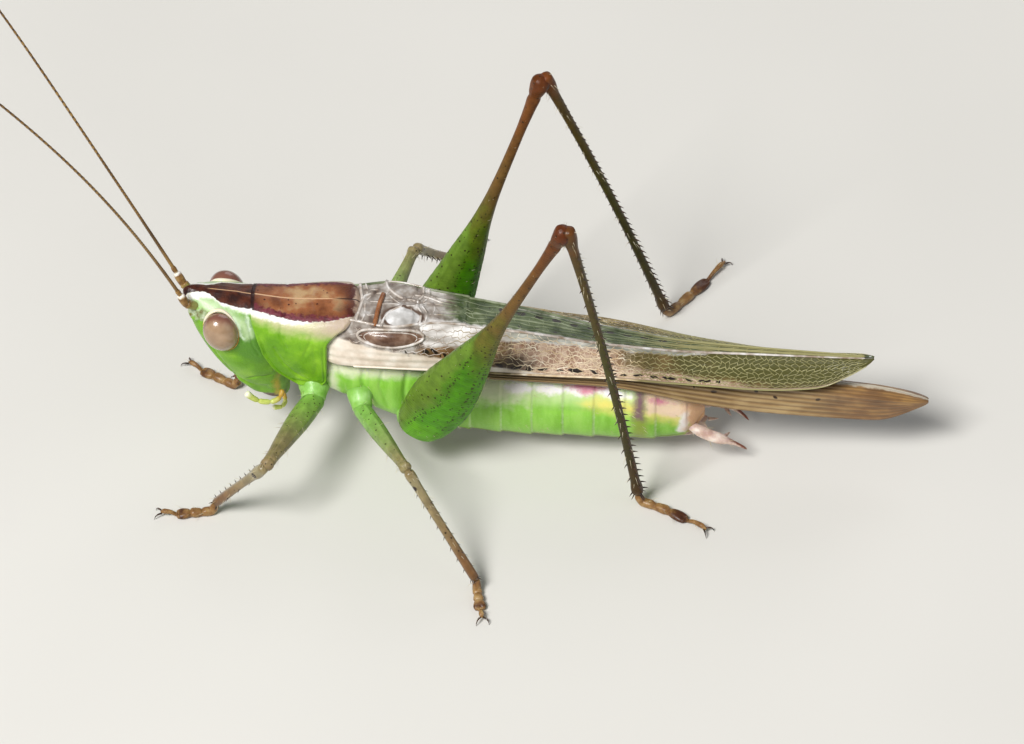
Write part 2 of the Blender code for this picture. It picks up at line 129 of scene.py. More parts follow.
def facing(grid, wrap=True):
    """Outward direction at each point of a grid: the cross product of its steps along rows and
    columns, turned away from the middle of its row."""
    around = np.roll(grid, -1, 1) - np.roll(grid, 1, 1) if wrap else np.gradient(grid, axis=1)
    out = unit(np.cross(around, np.gradient(grid, axis=0)) + 1e-12)
    side = (out * (grid - grid.mean(1, keepdims=True))).sum()
    return out * (1 if side > 0 else -1)


print("curve at the middle of a ramp:", curve(0.5, ((0, 0), (1, 1))))

# %% [markdown]
# ## From numbers to a mesh
# A mesh is a list of points and a list of faces. For a grid the faces follow by counting, so the
# whole arrays go into Blender in a few calls with foreach_set, which is far faster than adding
# vertices one by one. Each skin is closed: its end rings get a fan of faces, or are zipped shut
# like the two faces of a plate. The sign of the enclosed volume tells whether the faces look
# outwards, and if they don't, all of them are turned round.
# %% Objects from grids
COUNTS = {}


def piece(name, points, faces, material, slot, nodes=(), corner_uv=None, uv_name="Surface",
          fields=None):
    """One finished object at the origin. points are in the insect's millimetres, and faces are
    arrays of corners, in threes or more. corner_uv has a row for each corner of each face."""
    points = (points + ZERO) * MM
    # Faces with more than four corners only close thin tubes, and hardly count in the volume
    halves = [face[:, [0, 2, 3]] for face in faces if face.shape[1] == 4]
    flat = points[np.concatenate([face[:, :3] for face in faces] + halves)]
    inside_out = np.einsum("ij,ij", flat[:, 0], np.cross(flat[:, 1], flat[:, 2])) < 0
    turn = slice(None, None, -1 if inside_out else 1)
    corners = np.concatenate([face[:, turn].ravel() for face in faces])
    sizes = np.concatenate([np.full(len(face), face.shape[1]) for face in faces])
    mesh = bpy.data.meshes.new(name)
    mesh.vertices.add(len(points))
    mesh.vertices.foreach_set("co", points.astype(np.float32).ravel())
    mesh.loops.add(len(corners))
    mesh.loops.foreach_set("vertex_index", corners.astype(np.int32))
    mesh.polygons.add(len(sizes))
    mesh.polygons.foreach_set("loop_start", (np.cumsum(sizes) - sizes).astype(np.int32))
    if corner_uv is not None:
        uv = np.concatenate([part[:, turn].reshape(-1, 2) for part in corner_uv])
        mesh.uv_layers.new(name=uv_name).data.foreach_set("uv", uv.astype(np.float32).ravel())
    for key, value in (fields or {}).items():
        mesh.attributes.new(key, "FLOAT", "POINT").data.foreach_set("value", value.astype(np.float32))
    mesh.update(calc_edges=True)
    mesh.validate()
    mesh.shade_smooth()
    mesh.materials.append(material)
    made = bpy.data.objects.new(name, mesh)
    bpy.context.scene.collection.objects.link(made)
    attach(made, "root")
    if nodes:
        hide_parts(*nodes)
    COUNTS[name] = int((sizes - 2).sum())
    return made


def skin(name, grid, material, slot, nodes=(), ends="fan", **fields):
    """Closed surface over a grid whose columns run right round it. Ends are a fan of faces round
    the middle of the end ring, or a zip that joins the first half of the ring to the second.
    Its UV map is in millimetres: the way along the rows, and the way round the widest one."""
    rows, count = grid.shape[:2]
    row, column = np.mgrid[:rows - 1, :count]
    places = np.stack([row, column, row, column + 1, row + 1, column + 1, row + 1, column], -1)
    places = [places.reshape(-1, 4, 2)]
    points = grid.reshape(-1, 3)
    fields = {key: np.broadcast_to(value, (rows, count)) for key, value in fields.items()}
    values = {key: value.ravel() for key, value in fields.items()}
    if ends == "fan":
        points = np.concatenate([points, grid[0].mean(0)[None], grid[-1].mean(0)[None]])
        values = {key: np.append(value, (fields[key][0].mean(), fields[key][-1].mean()))
                  for key, value in values.items()}
        j = np.arange(count)
        for end, step in ((0, 1), (rows - 1, 0)):
            rim, middle = np.full(count, end), np.full(count, rows + (end > 0))
            places.append(np.stack([rim, j + step, rim, j + 1 - step, middle, j], -1).reshape(-1, 3, 2))
    else:
        j = np.arange(count // 2 - 1)
        for end, step in ((0, 1), (rows - 1, 0)):
            rim = np.full(len(j), end)
            places.append(np.stack([rim, j + step, rim, j + 1 - step, rim, count - 2 - j + step,
                                    rim, count - 1 - j - step], -1).reshape(-1, 4, 2))
    along = np.append(0, np.cumsum(np.linalg.norm(np.diff(grid, axis=0), axis=-1).mean(1)))
    along = np.append(along, (along[0], along[-1]))
    widest = grid[np.ptp(grid, axis=1).sum(-1).argmax()]
    around = np.append(0, np.cumsum(np.linalg.norm(np.roll(widest, -1, 0) - widest, axis=-1)))
    faces = [np.where(at[..., 0] < rows, at[..., 0] * count + at[..., 1] % count,
                      rows * count + at[..., 0] - rows) for at in places]
    uv = [np.stack([along[at[..., 0]], around[at[..., 1]]], -1) for at in places]
    return piece(name, points, faces, material, slot, nodes, uv, fields=values)


def plate(name, outer, inner, material, slot, nodes=(), **fields):
    """Thin shell between two grids: each row runs out along one and back along the other."""
    fields = {key: np.concatenate([value, value[:, ::-1]], 1) for key, value in fields.items()}
    return skin(name, np.concatenate([outer, inner[:, ::-1]], 1), material, slot, nodes, "zip", **fields)


def rings(path, up, wide=None, turns=24, upright=(0, 0, 1), power=2.0):
    """Rings square to a path, or to many paths at once. up and wide are their half height and
    half width, and upright is the way that the height leans towards."""
    path = np.asarray(path, float)
    ahead = unit(np.gradient(path, axis=-2))
    side = unit(np.cross(ahead, upright))
    lift = np.cross(side, ahead)
    across, high = oval(full_turn(turns), power)
    up, wide = (np.asarray(size)[..., None] if np.ndim(size) < path.ndim else np.asarray(size)
                for size in (up, up if wide is None else wide))
    return (path[..., None, :] + (wide * across)[..., None] * side[..., None, :]
            + (up * high)[..., None] * lift[..., None, :])


def lattice(rows, turns, closed=False):
    """Four-cornered faces of a grid that runs right round; closed joins its last row to its first."""
    row, column = np.mgrid[:rows if closed else rows - 1, :turns]
    after, beside = (row + 1) % rows * turns, (column + 1) % turns
    row = row * turns
    return np.stack([row + column, row + beside, after + beside, after + column], -1).reshape(-1, 4)


def tubes(grids):
    """Points and faces of many closed tubes alike: grids is (tubes, rows, turns, 3). Each end is
    one flat face."""
    many, rows, turns = grids.shape[:3]
    ends = np.stack([np.arange(turns)[::-1], (rows - 1) * turns + np.arange(turns)])
    start = np.arange(many)[:, None, None] * rows * turns
    return grids.reshape(-1, 3), [(start + lattice(rows, turns)).reshape(-1, 4),
                                  (start + ends).reshape(-1, turns)]


def joined(parts):
    """Several sets of points and faces as one."""
    shift = np.cumsum([0] + [len(points) for points, faces in parts])
    return (np.concatenate([points for points, faces in parts]),
            [face + move for move, (points, faces) in zip(shift, parts) for face in faces])


def stations(length, end, steps, cap=6):
    """Distances along a limb, crowded where its ends round off."""
    tip = end * (1 - np.cos(np.linspace(0, math.pi / 2, cap)[:-1]))
    return np.concatenate([tip, np.linspace(end, length - end, steps), length - tip[::-1]])


def blunt(s, length, end):
    """Share of the full thickness at distance s: a quarter circle over each end of the limb."""
    rest = np.clip(np.minimum(s, length - s) / end, 0.0004, 1)
    return np.sqrt(1 - (1 - rest) ** 2)


# %% [markdown]
# ## Nodes for the finishes
# A katydid's colour lies in and under a clear, waxy cuticle. In Blender that is a Principled
# shader with a coat over it. Colours are written as sRGB hex, as a painter would pick them, and one
# function turns them into the linear numbers that the shader wants. Markings are laid one over
# another. A named field on the mesh says how far inside a marking a point lies, mostly in
# millimetres, so its border stays crisp whatever the size of the faces, and a little noise makes
# it ragged. A whole finish is then a short list of hues, fields and widths.
# %% Helpers for the finishes
def linear(colour):
    """Linear colour of an sRGB hex: each part over 0.04045 is raised to 2.4."""
    parts = np.array([int(colour[i:i + 2], 16) for i in (1, 3, 5)]) / 255
    return (*np.where(parts <= 0.04045, parts / 12.92, ((parts + 0.055) / 1.055) ** 2.4), 1)


def add(tree, kind, links=(), out=None, stops=None, **settings):
    """Add one node. settings fill its properties and links its sockets, with a number, a hex
    colour or another node's output. Returns the named output, or else the first that is in use."""
    node = tree.nodes.new("ShaderNode" + kind)
    for key, value in settings.items():
        setattr(node, key, value)
    for place, colour in stops or ():
        ramp = node.color_ramp.elements
        stop = ramp.new(place) if len(ramp) > 2 or place not in (0, 1) else ramp[place]
        stop.color = linear(colour)
    for key, value in dict(links).items():
        socket = node.inputs[key] if isinstance(key, int) else next(
            s for s in node.inputs if s.name == key and s.enabled)
        if isinstance(value, bpy.types.NodeSocket):
            tree.links.new(value, socket)
        else:
            socket.default_value = linear(value) if isinstance(value, str) else value
    return node.outputs[out] if out else next(s for s in node.outputs if s.enabled)


def grain(tree, place, size, detail=3.0):
    """Noise from 0 to 1 whose lumps are size millimetres wide."""
    return add(tree, "TexNoise", {"Vector": place, "Scale": 1 / (size * MM), "Detail": detail})


def cells(tree, place, size, uneven=1.0, feature="F1"):
    """Cells size millimetres wide, on a lattice that is even at uneven 0 and scattered at 1."""
    return add(tree, "TexVoronoi", {"Vector": place, "Scale": 1 / (size * MM), "Randomness": uneven},
               feature=feature)


def field_of(tree, name):
    """A named field of the mesh."""
    return add(tree, "Attribute", out="Fac", attribute_name=name)


def sums(tree, operation, *numbers):
    """One step of arithmetic."""
    return add(tree, "Math", dict(enumerate(numbers)), operation=operation)


def remap(tree, value, low, high, start=1.0, end=-1.0, **settings):
    """Value moved from between low and high to between start and end, and held there beyond."""
    return add(tree, "MapRange", {"Value": value, "From Min": low, "From Max": high, "To Min": start,
                                  "To Max": end}, **settings)


def mottled(tree, place, dark, light, size, third=None):
    """Two or three hues that run into each other in lumps of that size."""
    hues = ((0, dark), (1, light)) if third is None else ((0, dark), (1, third), (0.55, light))
    lumps = remap(tree, grain(tree, place, size), 0.33, 0.67, 0.0, 1.0)
    return add(tree, "ValToRGB", {"Fac": lumps}, stops=hues)


def marking(tree, place, below, colour, field, edge=0.02, ragged=0.0, lumps=0.1):
    """Colour laid over what is below wherever the field is above zero. edge is the width over
    which it fades, and ragged how far noise pushes its border, both in the field's own measure."""
    if isinstance(field, str):
        field = field_of(tree, field)
    if ragged:
        field = sums(tree, "ADD", field, remap(tree, grain(tree, place, lumps), 0.3, 0.7, -ragged, ragged))
    share = remap(tree, field, -edge, edge, 0.0, 1.0, interpolation_type="SMOOTHSTEP")
    return add(tree, "Mix", {"Factor": share, "A": below, "B": colour}, data_type="RGBA")


def layers(tree, place, below, *rows):
    """Markings laid one over another. A row is a colour, its field, edge, ragged and lumps, and a
    colour that is several hues and a size is mottled."""
    def hue(colour):
        return mottled(tree, place, *colour) if isinstance(colour, tuple) else colour
    below = hue(below)
    for colour, *rest in rows:
        below = marking(tree, place, below, hue(colour), *rest)
    return below


def paint_of(below, *rows):
    """A paint made of layers and nothing else."""
    return lambda tree, place: layers(tree, place, below, *rows)


def finish(name, paint, shader, relief=None, depth=0.004):
    """A finish: paint(tree, place) gives its colour, relief(tree, place) its fine height, depth
    millimetres high, and shader the numbers that go straight on the shader's own sockets."""
    material = bpy.data.materials.new(name)
    material.use_nodes = True
    tree = material.node_tree
    bsdf = tree.nodes["Principled BSDF"]
    place = add(tree, "TexCoord", out="Object")
    tree.links.new(paint(tree, place), bsdf.inputs["Base Color"])
    if relief:
        tree.links.new(add(tree, "Bump", {"Height": relief(tree, place), "Distance": depth * MM,
                                          "Strength": 1.0}), bsdf.inputs["Normal"])
    for key, value in shader.items():
        bsdf.inputs[key].default_value = value
    return material


print("linear mid grey:", round(linear("#808080")[0], 3))

# %% [markdown]
# ## The head
# The head is one hard capsule, narrow at the mouth and drawn out in front into a small blunt cone
# between the feelers. It is a stack of level slices: three curves give each slice's front, back
# and half width. A groove runs from the eye to the jaw, another marks off the face shield, and
# low swellings stand for the jaws under the cheeks. They are dents and bumps in the same surface,
# because on the insect they are folds of one shell. Making them as separate parts would leave
# gaps.
# %% Shape of the head
MOUTH = 1.3                                  # height of the lowest mouth part over the floor, mm
CROWN = 5.36                                 # height of the top of the head


def head_slice(z):
    """Front, back and half width of the head at height z."""
    front = curve(z, ((MOUTH, -2.62), (2.0, -3.38), (3.0, -4.12), (4.0, -4.62), (4.9, -4.95),
                      (5.2, -5.0), (CROWN, -4.88)))
    back = curve(z, ((MOUTH, -2.20), (1.6, -2.06), (3.0, -2.08), (3.3, -2.20), (3.95, -2.50), (4.7, -2.76),
                     (5.1, -2.82), (5.2, -2.98), (CROWN, -3.45)))
    width = curve(z, ((MOUTH, 0.24), (1.9, 0.52), (2.6, 0.78), (3.3, 0.94), (4.0, 0.98), (4.6, 0.88),
                      (5.0, 0.66), (5.22, 0.42), (CROWN, 0.14)))
    return front, back, width


def head_width(place, z):
    """Half width of a slice, as a share of its widest, at a place from -1 in front to 1 behind: a
    superellipse of power 2.3, narrowed towards the face, and of power 4 where it enters the saddle."""
    narrow = 1 - 0.30 * place ** 2 * np.clip((z - 4.2) / 0.8, 0, 1) * (place < 0)
    power = 2.3 + 1.7 * ease(z, 3.1, 3.7) * (place > 0)
    return narrow * (1 - np.abs(place) ** power) ** (1 / power)


z = np.concatenate([np.linspace(MOUTH, 5.0, 130), np.linspace(5.0, CROWN, 44)[1:]])[:, None]
front, back, width = head_slice(z)
across, along = oval(full_turn(208)[None], 2.3)
x = (front + back) / 2 + along * (back - front) / 2
foot = np.sqrt(1 - (1 - np.clip((z - MOUTH + 0.02) / 0.25, 0, 1)) ** 2)     # rounds the mouth's end
y = np.sign(across) * width * head_width(along, z) * foot
head = np.stack([x, y, np.broadcast_to(z, x.shape)], -1)
half = np.abs(head) * (-1, 1, 1)             # both halves of the head laid over its right half
face = half[..., 1:]                         # seen from in front
plan = half[..., (0, 2)]                     # seen from the side
ahead = ease(along, 0.35, 0.1)
folds = folded([(face, line, tall, wide, ahead) for line, tall, wide in (
    (((0.80, 3.95), (0.74, 3.1), (0.60, 2.55), (0.44, 2.42)), -0.055, 0.045),      # face shield
    (((0.0, 2.64), (0.30, 2.60), (0.44, 2.42), (0.35, 2.10)), -0.060, 0.035),      # upper lip
    (((0.0, 2.13), (0.35, 2.10), (0.33, 1.75), (0.20, 1.48)), -0.060, 0.035),
    (((0.60, 2.55), (0.62, 2.15), (0.44, 1.55)), -0.055, 0.04),
    (((0, 1.90), (0.1, 1.75)), 0.050, 0.24),                                       # jaws and lip swell
    (((0.50, 2.25), (0.42, 1.85)), 0.050, 0.12),
    (((0, 2.4), (0.2, 2.38)), 0.030, 0.16),
    (((0, 4.6), (0, 4.25)), 0.030, 0.10))])
# A collar 0.2 mm off the feeler's middle, then the cheek, the temple, the feeler's pit and the keel
folds = folds + 0.050 * bump(near(half, ((-4.66, 0.45, 4.84), (-4.62, 0.44, 4.81))) - 0.20, 0.05)
folds = folded((
    (half, ((-2.5, 0.75, 2.75), (-2.9, 0.80, 2.75), (-3.3, 0.78, 2.5)), -0.035, 0.04),
    (half, ((-3.1, 0.93, 3.4), (-2.7, 0.9, 3.0)), 0.03, 0.4),
    (plan, ((-3.16, 4.95), (-3.08, 4.6), (-2.98, 4.1), (-2.8, 3.7)), -0.020, 0.03),
    (plan, ((-3.40, 4.85), (-3.30, 4.5), (-3.26, 4.2)), -0.016, 0.03),
    (half, ((-4.75, 0.30, 4.86), (-4.5, 0.50, 4.75)), -0.06, 0.12),
    (half, ((-4.9, 0, 5.4), (-4.3, 0, 5.4), (-3.0, 0, 5.4)), -0.012, 0.03)), folds)
head = head + folds[..., None] * facing(head)
head[..., 2] -= 0.05 * bump(head[..., 0] + 4.25, 0.35) * ease(head[..., 2], 4.9, 5.3)
dip = 0.10 * bump(head[..., 0] + 3.45, 0.45) * ease(head[..., 2], 4.8, 5.3)
head[..., 2] -= dip
over = np.abs(head[..., 1]) + 5.3 - dip - head[..., 2]      # way down from the middle line, nearly

# Fields of the markings: how far inside each of them a point lies
hx = head[..., 0]
stripe = curve(hx, ((-5, 0.60), (-4.93, 0.40), (-4.84, 0.19), (-4.4, 0.13), (-4.2, 0.24), (-3.9, 0.47),
                    (-3.4, 0.60), (-3.05, 0.69))) - over
band = curve(hx, ((-5, 0.52), (-4.8, 0.48), (-4.5, 0.42), (-4.3, 0.33), (-3.9, 0.58), (-3.4, 0.77),
                  (-3.05, 0.88))) - over
cheek = 0.030 - np.minimum(near(plan, ((-3.15, 5.0), (-3.10, 4.75), (-3.05, 4.55))),
                           near(plan, ((-3.5, 4.90), (-3.36, 4.70), (-3.32, 4.45), (-3.22, 4.3))))
haze = 0.15 - near(plan, ((-4.5, 5.25), (-3.76, 5.02), (-3.49, 4.86), (-3.19, 4.70), (-3.08, 4.45)))
lip = 0.30 - near(face, ((0, 2.0), (0, 1.6))) - (along > 0.2)
bite = np.minimum(1.75 - head[..., 2], half[..., 1] - 0.27)
eyelet = 0.055 - near(face, ((0, 4.30), (0, 4.28))) - (along > 0)
temple = 0.16 - near(half, ((-4.80, 0.42, 4.80), (-4.52, 0.55, 4.85), (-4.35, 0.66, 4.9)))
nape = 0.42 - near(half, ((-3.3, 0.85, 4.6), (-2.95, 0.95, 3.9)))
jaw = 0.10 - near(half, ((-2.15, 0.75, 3.0), (-2.35, 0.65, 2.4), (-2.35, 0.45, 1.7)))
print("head capsule:", head.shape[0], "slices of", head.shape[1], "points")

# %% [markdown]
# ### Finish of the head: waxy green cuticle
# The green of a katydid is pigment under a clear waxy layer, so the finish is a soft, slightly
# see-through plastic-like body with a thin gloss over it. Fine wrinkles and pores a few hundredths
# of a millimetre across break the shine. The dark crown stripe and the white stripe beside it are
# pigment too, laid on as markings.
# %% Waxy cuticle
WAXY = {"Roughness": 0.40, "Coat Weight": 0.12, "Coat Roughness": 0.14, "Specular IOR Level": 0.3,
        "Subsurface Weight": 0.20, "Subsurface Scale": 0.25 * MM, "Subsurface Radius": (0.9, 1.0, 0.4),
        "IOR": 1.5}
LINE_HALF, LINE_START, LINE_FADE = 0.014, -4.25, 0.1     # the crown's middle line: mm, and a slope


def pores(tree, place):
    """Pores and wrinkles, 0.06 and 0.03 mm wide, drawn twice as coarse as real ones so they show."""
    return sums(tree, "ADD", cells(tree, place, 0.06, feature="SMOOTH_F1"), grain(tree, place, 0.03))


def head_paint(tree, place):
    """Leaf green, duller behind the eye, pale from the crown to the cheek, and mottled round the
    feelers. A white band edges the brown stripe on the crown, and a thin pale line runs along its
    middle: its field is the half width less the distance from the middle, and starts above the face."""
    green = layers(tree, place, ("#62951a", "#72a822", 0.5, "#86b82e"),
                   ("#56882a", "nape", 0.25, 0.1, 0.2),
                   ("#b4cc9a", "haze", 0.14, 0.04, 0.15),
                   ("#a9b860", "lip", 0.12, 0.04, 0.2),
                   ("#4e2a12", "bite", 0.08, 0.04, 0.2),
                   ("#e8e0b8", "eyelet", 0.02),
                   (("#6a5a2c", "#93a478", 0.12, "#b9c0a4"), "temple", 0.06, 0.05, 0.1),
                   ("#b8a83a", "jaw", 0.10, 0.05, 0.15),
                   ("#c8dabc", "cheek", 0.05, 0.03, 0.09),
                   ("#f1f0e8", "band", 0.10, 0.06, 0.20))
    off = sums(tree, "MULTIPLY_ADD", add(tree, "SeparateXYZ", {0: place}, "Y"), 1 / MM, -ZERO[1])
    off = sums(tree, "SUBTRACT", LINE_HALF, sums(tree, "ABSOLUTE", off))
    start = sums(tree, "MULTIPLY_ADD", add(tree, "SeparateXYZ", {0: place}, "X"), LINE_FADE / MM,
                 LINE_FADE * (-LINE_START - ZERO[0]))
    line = sums(tree, "MINIMUM", off, start)
    brown = layers(tree, place, ("#2c0f08", "#5a2a16", 0.3), ("#cba278", line, 0.010))
    return layers(tree, place, green, (brown, "stripe", 0.02, 0.025, 0.1))


head_green = finish("waxy green cuticle of the head", head_paint, WAXY, pores, 0.006)
skin("head_capsule", head, head_green, "head_shell", ("head",), stripe=stripe, band=band, cheek=cheek,
     nape=nape, temple=temple, jaw=jaw, lip=lip, bite=bite, eyelet=eyelet, haze=haze)

# %% [markdown]
# ## Eyes
# A compound eye is a dome of thousands of six-sided lenses. Here it is a leaning egg whose pole
# looks outwards. The lenses are about 0.02 mm wide, so they are drawn as a relief of cells 0.035 mm
# wide, which is as fine as a close view can show. A narrow rim of shell rings the eye, cream above
# and orange below.
# %% Eyes and their rims
EYE_CENTRE = np.array((-3.86, 0.86, 4.48))
EYE_SIZE = np.array((0.50, 0.44, 0.62))
RIM_LONG, RIM_HIGH = 0.485, 0.605            # half length and half height of the rim
RIM_STEPS, RIM_TURNS = 96, 12                # points round the eye and round the rim's own bead
LEAN = math.radians(18)


def leaning(x, z):
    """x and z turned about the eye's middle so that its long axis follows the sloping face."""
    return (EYE_CENTRE[0] + x * math.cos(LEAN) - z * math.sin(LEAN),
            EYE_CENTRE[2] + x * math.sin(LEAN) + z * math.cos(LEAN))


def lenses(tree, place):
    """Domes of lenses on a nearly even lattice."""
    return cells(tree, place, 0.035, 0.35)


# Pinkish tan, darker round its margin, with a maroon cap above
eye_glass = finish("clear lenses over tan pigment", paint_of(
    ("#94785c", "#a88a6c", 0.35), ("#7a5040", "rim", 0.22), ("#7a483c", "cap", 0.14, 0.03, 0.1)),
    {"Roughness": 0.22, "Coat Weight": 0.8, "Coat Roughness": 0.06, "IOR": 1.5}, lenses, 0.003)
rim_shell = finish("cream and orange rim of the eye", paint_of(
    ("#b97a2a", "#d9a24a", 0.2), ("#e9dfc0", "top", 0.10)), WAXY, pores, 0.003)
polar = np.linspace(0.02, math.pi - 0.02, 72)[:, None]
turn = full_turn(96)[None]
ex, ez = leaning(EYE_SIZE[0] * np.sin(polar) * np.cos(turn), EYE_SIZE[2] * np.sin(polar) * np.sin(turn))
ey = EYE_CENTRE[1] + EYE_SIZE[1] * np.cos(polar) + 0 * turn
round_eye = np.linspace(0, TAU, RIM_STEPS + 1)[:-1]
rx, rz = leaning(RIM_LONG * np.cos(round_eye), RIM_HIGH * np.sin(round_eye))
front, back, width = head_slice(rz)
ry = width * head_width(np.clip((2 * rx - front - back) / (back - front), -0.999, 0.999), rz)
ry = np.maximum(ry, 0.42) + 0.01
outward = unit(np.stack([rx - EYE_CENTRE[0], 0 * rx, rz - EYE_CENTRE[2]], -1))
bead = full_turn(RIM_TURNS)[None, :, None]
thick = (0.020 + 0.030 * np.maximum(np.sin(round_eye), 0) ** 2)[:, None, None]     # stoutest above
for name, way in SIDES:
    skin("compound_eye_" + name, np.stack([ex, way * ey, ez], -1), eye_glass, "eye_shell", ("eye_" + name,),
         cap=ez - 5.10 + 0.10 * (ex - EYE_CENTRE[0]) + 0.10 * np.cos(polar), rim=polar - 1.24 + 0 * turn)
    path = np.stack([rx, way * ry, rz], -1)
    bulge = np.cos(bead) * outward[:, None] + 1.3 * np.sin(bead) * np.array((0, way, 0))
    rim = path[:, None] + thick * bulge
    piece("eye_rim_" + name, rim.reshape(-1, 3), [lattice(RIM_STEPS, RIM_TURNS, True)], rim_shell,
          "eye_shell", fields={"top": np.repeat(rz - 4.72, RIM_TURNS)})
print("eye:", COUNTS["compound_eye_left"], "triangles")

# %% [markdown]
# ## Feelers
# A katydid's feelers are longer than its body. Each has a stout root joint, a short second one,
# and then a whip of some two hundred ring joints that thins to a hair. The whip is a ring carried
# along a path. Its radius shrinks towards the tip, and swells a little once for every joint.
# %% Feelers
ANTENNA_LENGTH = 31.0
ROOT_JOINT, SECOND_JOINT = 0.52, 0.26        # lengths of the first two joints
WHIP_START, WHIP_STEP = 0.66, 0.035          # where the whip begins, and from ring to ring
FEELER_ROOT = {"left": (-4.76, -0.51, 4.96), "right": (-4.92, 0.37, 4.84)}


def feeler_path(side, reach):
    """Points at those distances along a feeler: it rises at 65 degrees, and arches forwards as its
    angle falls with the power 1.1 of the distance, with a slow sway of a few degrees."""
    way = -1 if side == "left" else 1
    s = np.linspace(0, ANTENNA_LENGTH, 200)
    sway = -2.5 if side == "left" else 4
    rise = np.radians(65 - 42 * (s / ANTENNA_LENGTH) ** 1.1 - sway * np.cos(TAU * s / 20))
    spread = math.radians(5 if side == "left" else 10)
    step = np.stack([-np.cos(rise) * math.cos(spread), way * math.sin(spread) * np.ones_like(s),
                     np.sin(rise)], 1)
    points = np.array(FEELER_ROOT[side]) + np.cumsum(step, 0) * (s[1] - s[0])
    return np.stack([np.interp(reach, s, points[:, k]) for k in range(3)], 1)


def feeler_part(name, part, start, s, radius, turns, material, nodes=(), **fields):
    """A length of feeler: rings along its path from start on."""
    grid = rings(feeler_path(name, start + s), radius, turns=turns, upright=(0, 1, 0.1))
    return skin("feeler_%s_%s" % (part, name), grid, material, "feeler", nodes, **fields)


# Golden brown, darker in patches, with a fine dark ring at each joint
whip = finish("horny ringed whip of the feeler", paint_of(
    ("#553c18", "#7a5a2a", 1.6, "#93723a"), ("#3c270f", "joint", 0.6)),
    {"Roughness": 0.42, "Coat Weight": 0.2, "Coat Roughness": 0.2})
# Rusty brown, greener where it sinks into the head, white on the root joint's end: a painted highlight
root_shell = finish("rusty cuticle of the feeler's root", paint_of(
    ("#6a4a20", "#8e6a3a", 0.2, "#a2864e"), ("#8a8a4c", "sunk", 0.3, 0.1, 0.1),
    # painted highlight: white at the end of the root joint and the start of the second
    ("#efe9da", "pale", 0.05, 0.02, 0.1)), WAXY, pores, 0.004)
for name, way in SIDES:
    s = np.arange(WHIP_START, ANTENNA_LENGTH, WHIP_STEP)
    joint = 0.07 + 0.13 * ease(s, 0.7, 8)                     # length of one ring joint, mm
    phase = np.cumsum(WHIP_STEP / joint)
    radius = curve(s, ((0.6, 0.056), (3, 0.043), (12, 0.031), (ANTENNA_LENGTH, 0.014)))
    radius = radius * (1 + 0.10 * np.sin(phase * TAU)) * blunt(s - WHIP_START, s[-1] - WHIP_START, 0.03)
    feeler_part(name, "whip", 0, s, radius, 8, whip, ("antenna_base_" + name, "antenna_tip_" + name),
                joint=-np.sin(phase * TAU)[:, None] - 0.45)
    s = stations(ROOT_JOINT, 0.09, 22)
    radius = curve(s, ((0, 0.09), (0.12, 0.115), (0.30, 0.125), (0.44, 0.11), (ROOT_JOINT, 0.08)))
    feeler_part(name, "root", 0, s, radius * blunt(s, ROOT_JOINT, 0.08), 28, root_shell, ("scape_" + name,),
                pale=s[:, None] - 0.44, sunk=-1.0)
    cup = feeler_path(name, s)[6]            # the socket runs from here back into the head
    s = stations(SECOND_JOINT, 0.05, 12)
    radius = curve(s, ((0, 0.06), (0.16, 0.075), (SECOND_JOINT, 0.06))) * blunt(s, SECOND_JOINT, 0.04)
    feeler_part(name, "second", 0.46, s, radius, 24, root_shell, pale=0.05 - s[:, None], sunk=-1.0)
    knots = np.linspace(0, 1, 26)
    cup = cup + (1 - knots)[:, None] * (0.34, -way * 0.16, -0.26)
    radius = curve(knots, ((0, 0.10), (0.4, 0.13), (0.75, 0.125), (0.86, 0.135), (0.95, 0.12), (1, 0.08)))
    skin("feeler_socket_" + name, rings(cup, radius, turns=32, upright=(0, 1, 0.1)), root_shell, "feeler",
         pale=-1.0, sunk=(0.75 - knots)[:, None])
print("feeler whip:", COUNTS["feeler_whip_left"], "triangles")

# %% [markdown]
# ## Mouth feelers
# Two pairs of jointed palps hang beside the jaws. The outer pair has a long last joint with a pale,
# soft tip that tastes the food. Each is a ring carried along a bent path whose radius pinches in at
# the joints.
# %% Palps
def palp(name, path, joints, radius, nodes=()):
    """Jointed feeler along a path: its radius dips by a third at each joint, and its last joint
    swells."""
    knots = distances(path)
    s = stations(knots[-1], 0.06, 60)
    share = s / knots[-1]
    pinch = 1 - 0.35 * sum(bump(share - joint, 0.03) for joint in joints)
    thick = radius * (0.85 + 0.20 * ease(share, 0.7, 0.95)) * pinch * blunt(s, knots[-1], 0.06)
    grid = rings(through(s, knots, path), thick, turns=20, upright=(0, 1, 0.1))
    skin(name, grid, palp_flesh, "pale_flesh", nodes, tip=(share - 0.92)[:, None],
         near_root=(0.25 - share)[:, None])


# Pale yellow green, amber at the root, with a white tip
palp_flesh = finish("soft pale cuticle of the palps", paint_of(
    ("#b4be58", "#ccd27c", 0.2), ("#b5903c", "near_root", 0.12, 0.05, 0.1), ("#ebe8cc", "tip", 0.06)),
    WAXY, pores, 0.003)
OUTER_PALP = ((-2.20, 0.58, 2.02), (-2.28, 0.74, 1.86), (-2.48, 0.86, 1.80), (-2.76, 0.92, 1.84),
              (-3.02, 0.94, 1.98), (-3.22, 0.94, 2.18))
INNER_PALP = ((-2.22, 0.30, 1.62), (-2.16, 0.44, 1.42), (-2.28, 0.56, 1.30), (-2.52, 0.60, 1.30))
for name, way in SIDES:
    outer, inner = (np.array(path) * (1, way, 1) for path in (OUTER_PALP, INNER_PALP))
    palp("palp_outer_" + name, outer, (0.16, 0.40, 0.66), 0.092, ("palp_" + name,))
    palp("palp_inner_" + name, inner, (0.3, 0.6), 0.075)
print("palp:", COUNTS["palp_outer_left"], "triangles")

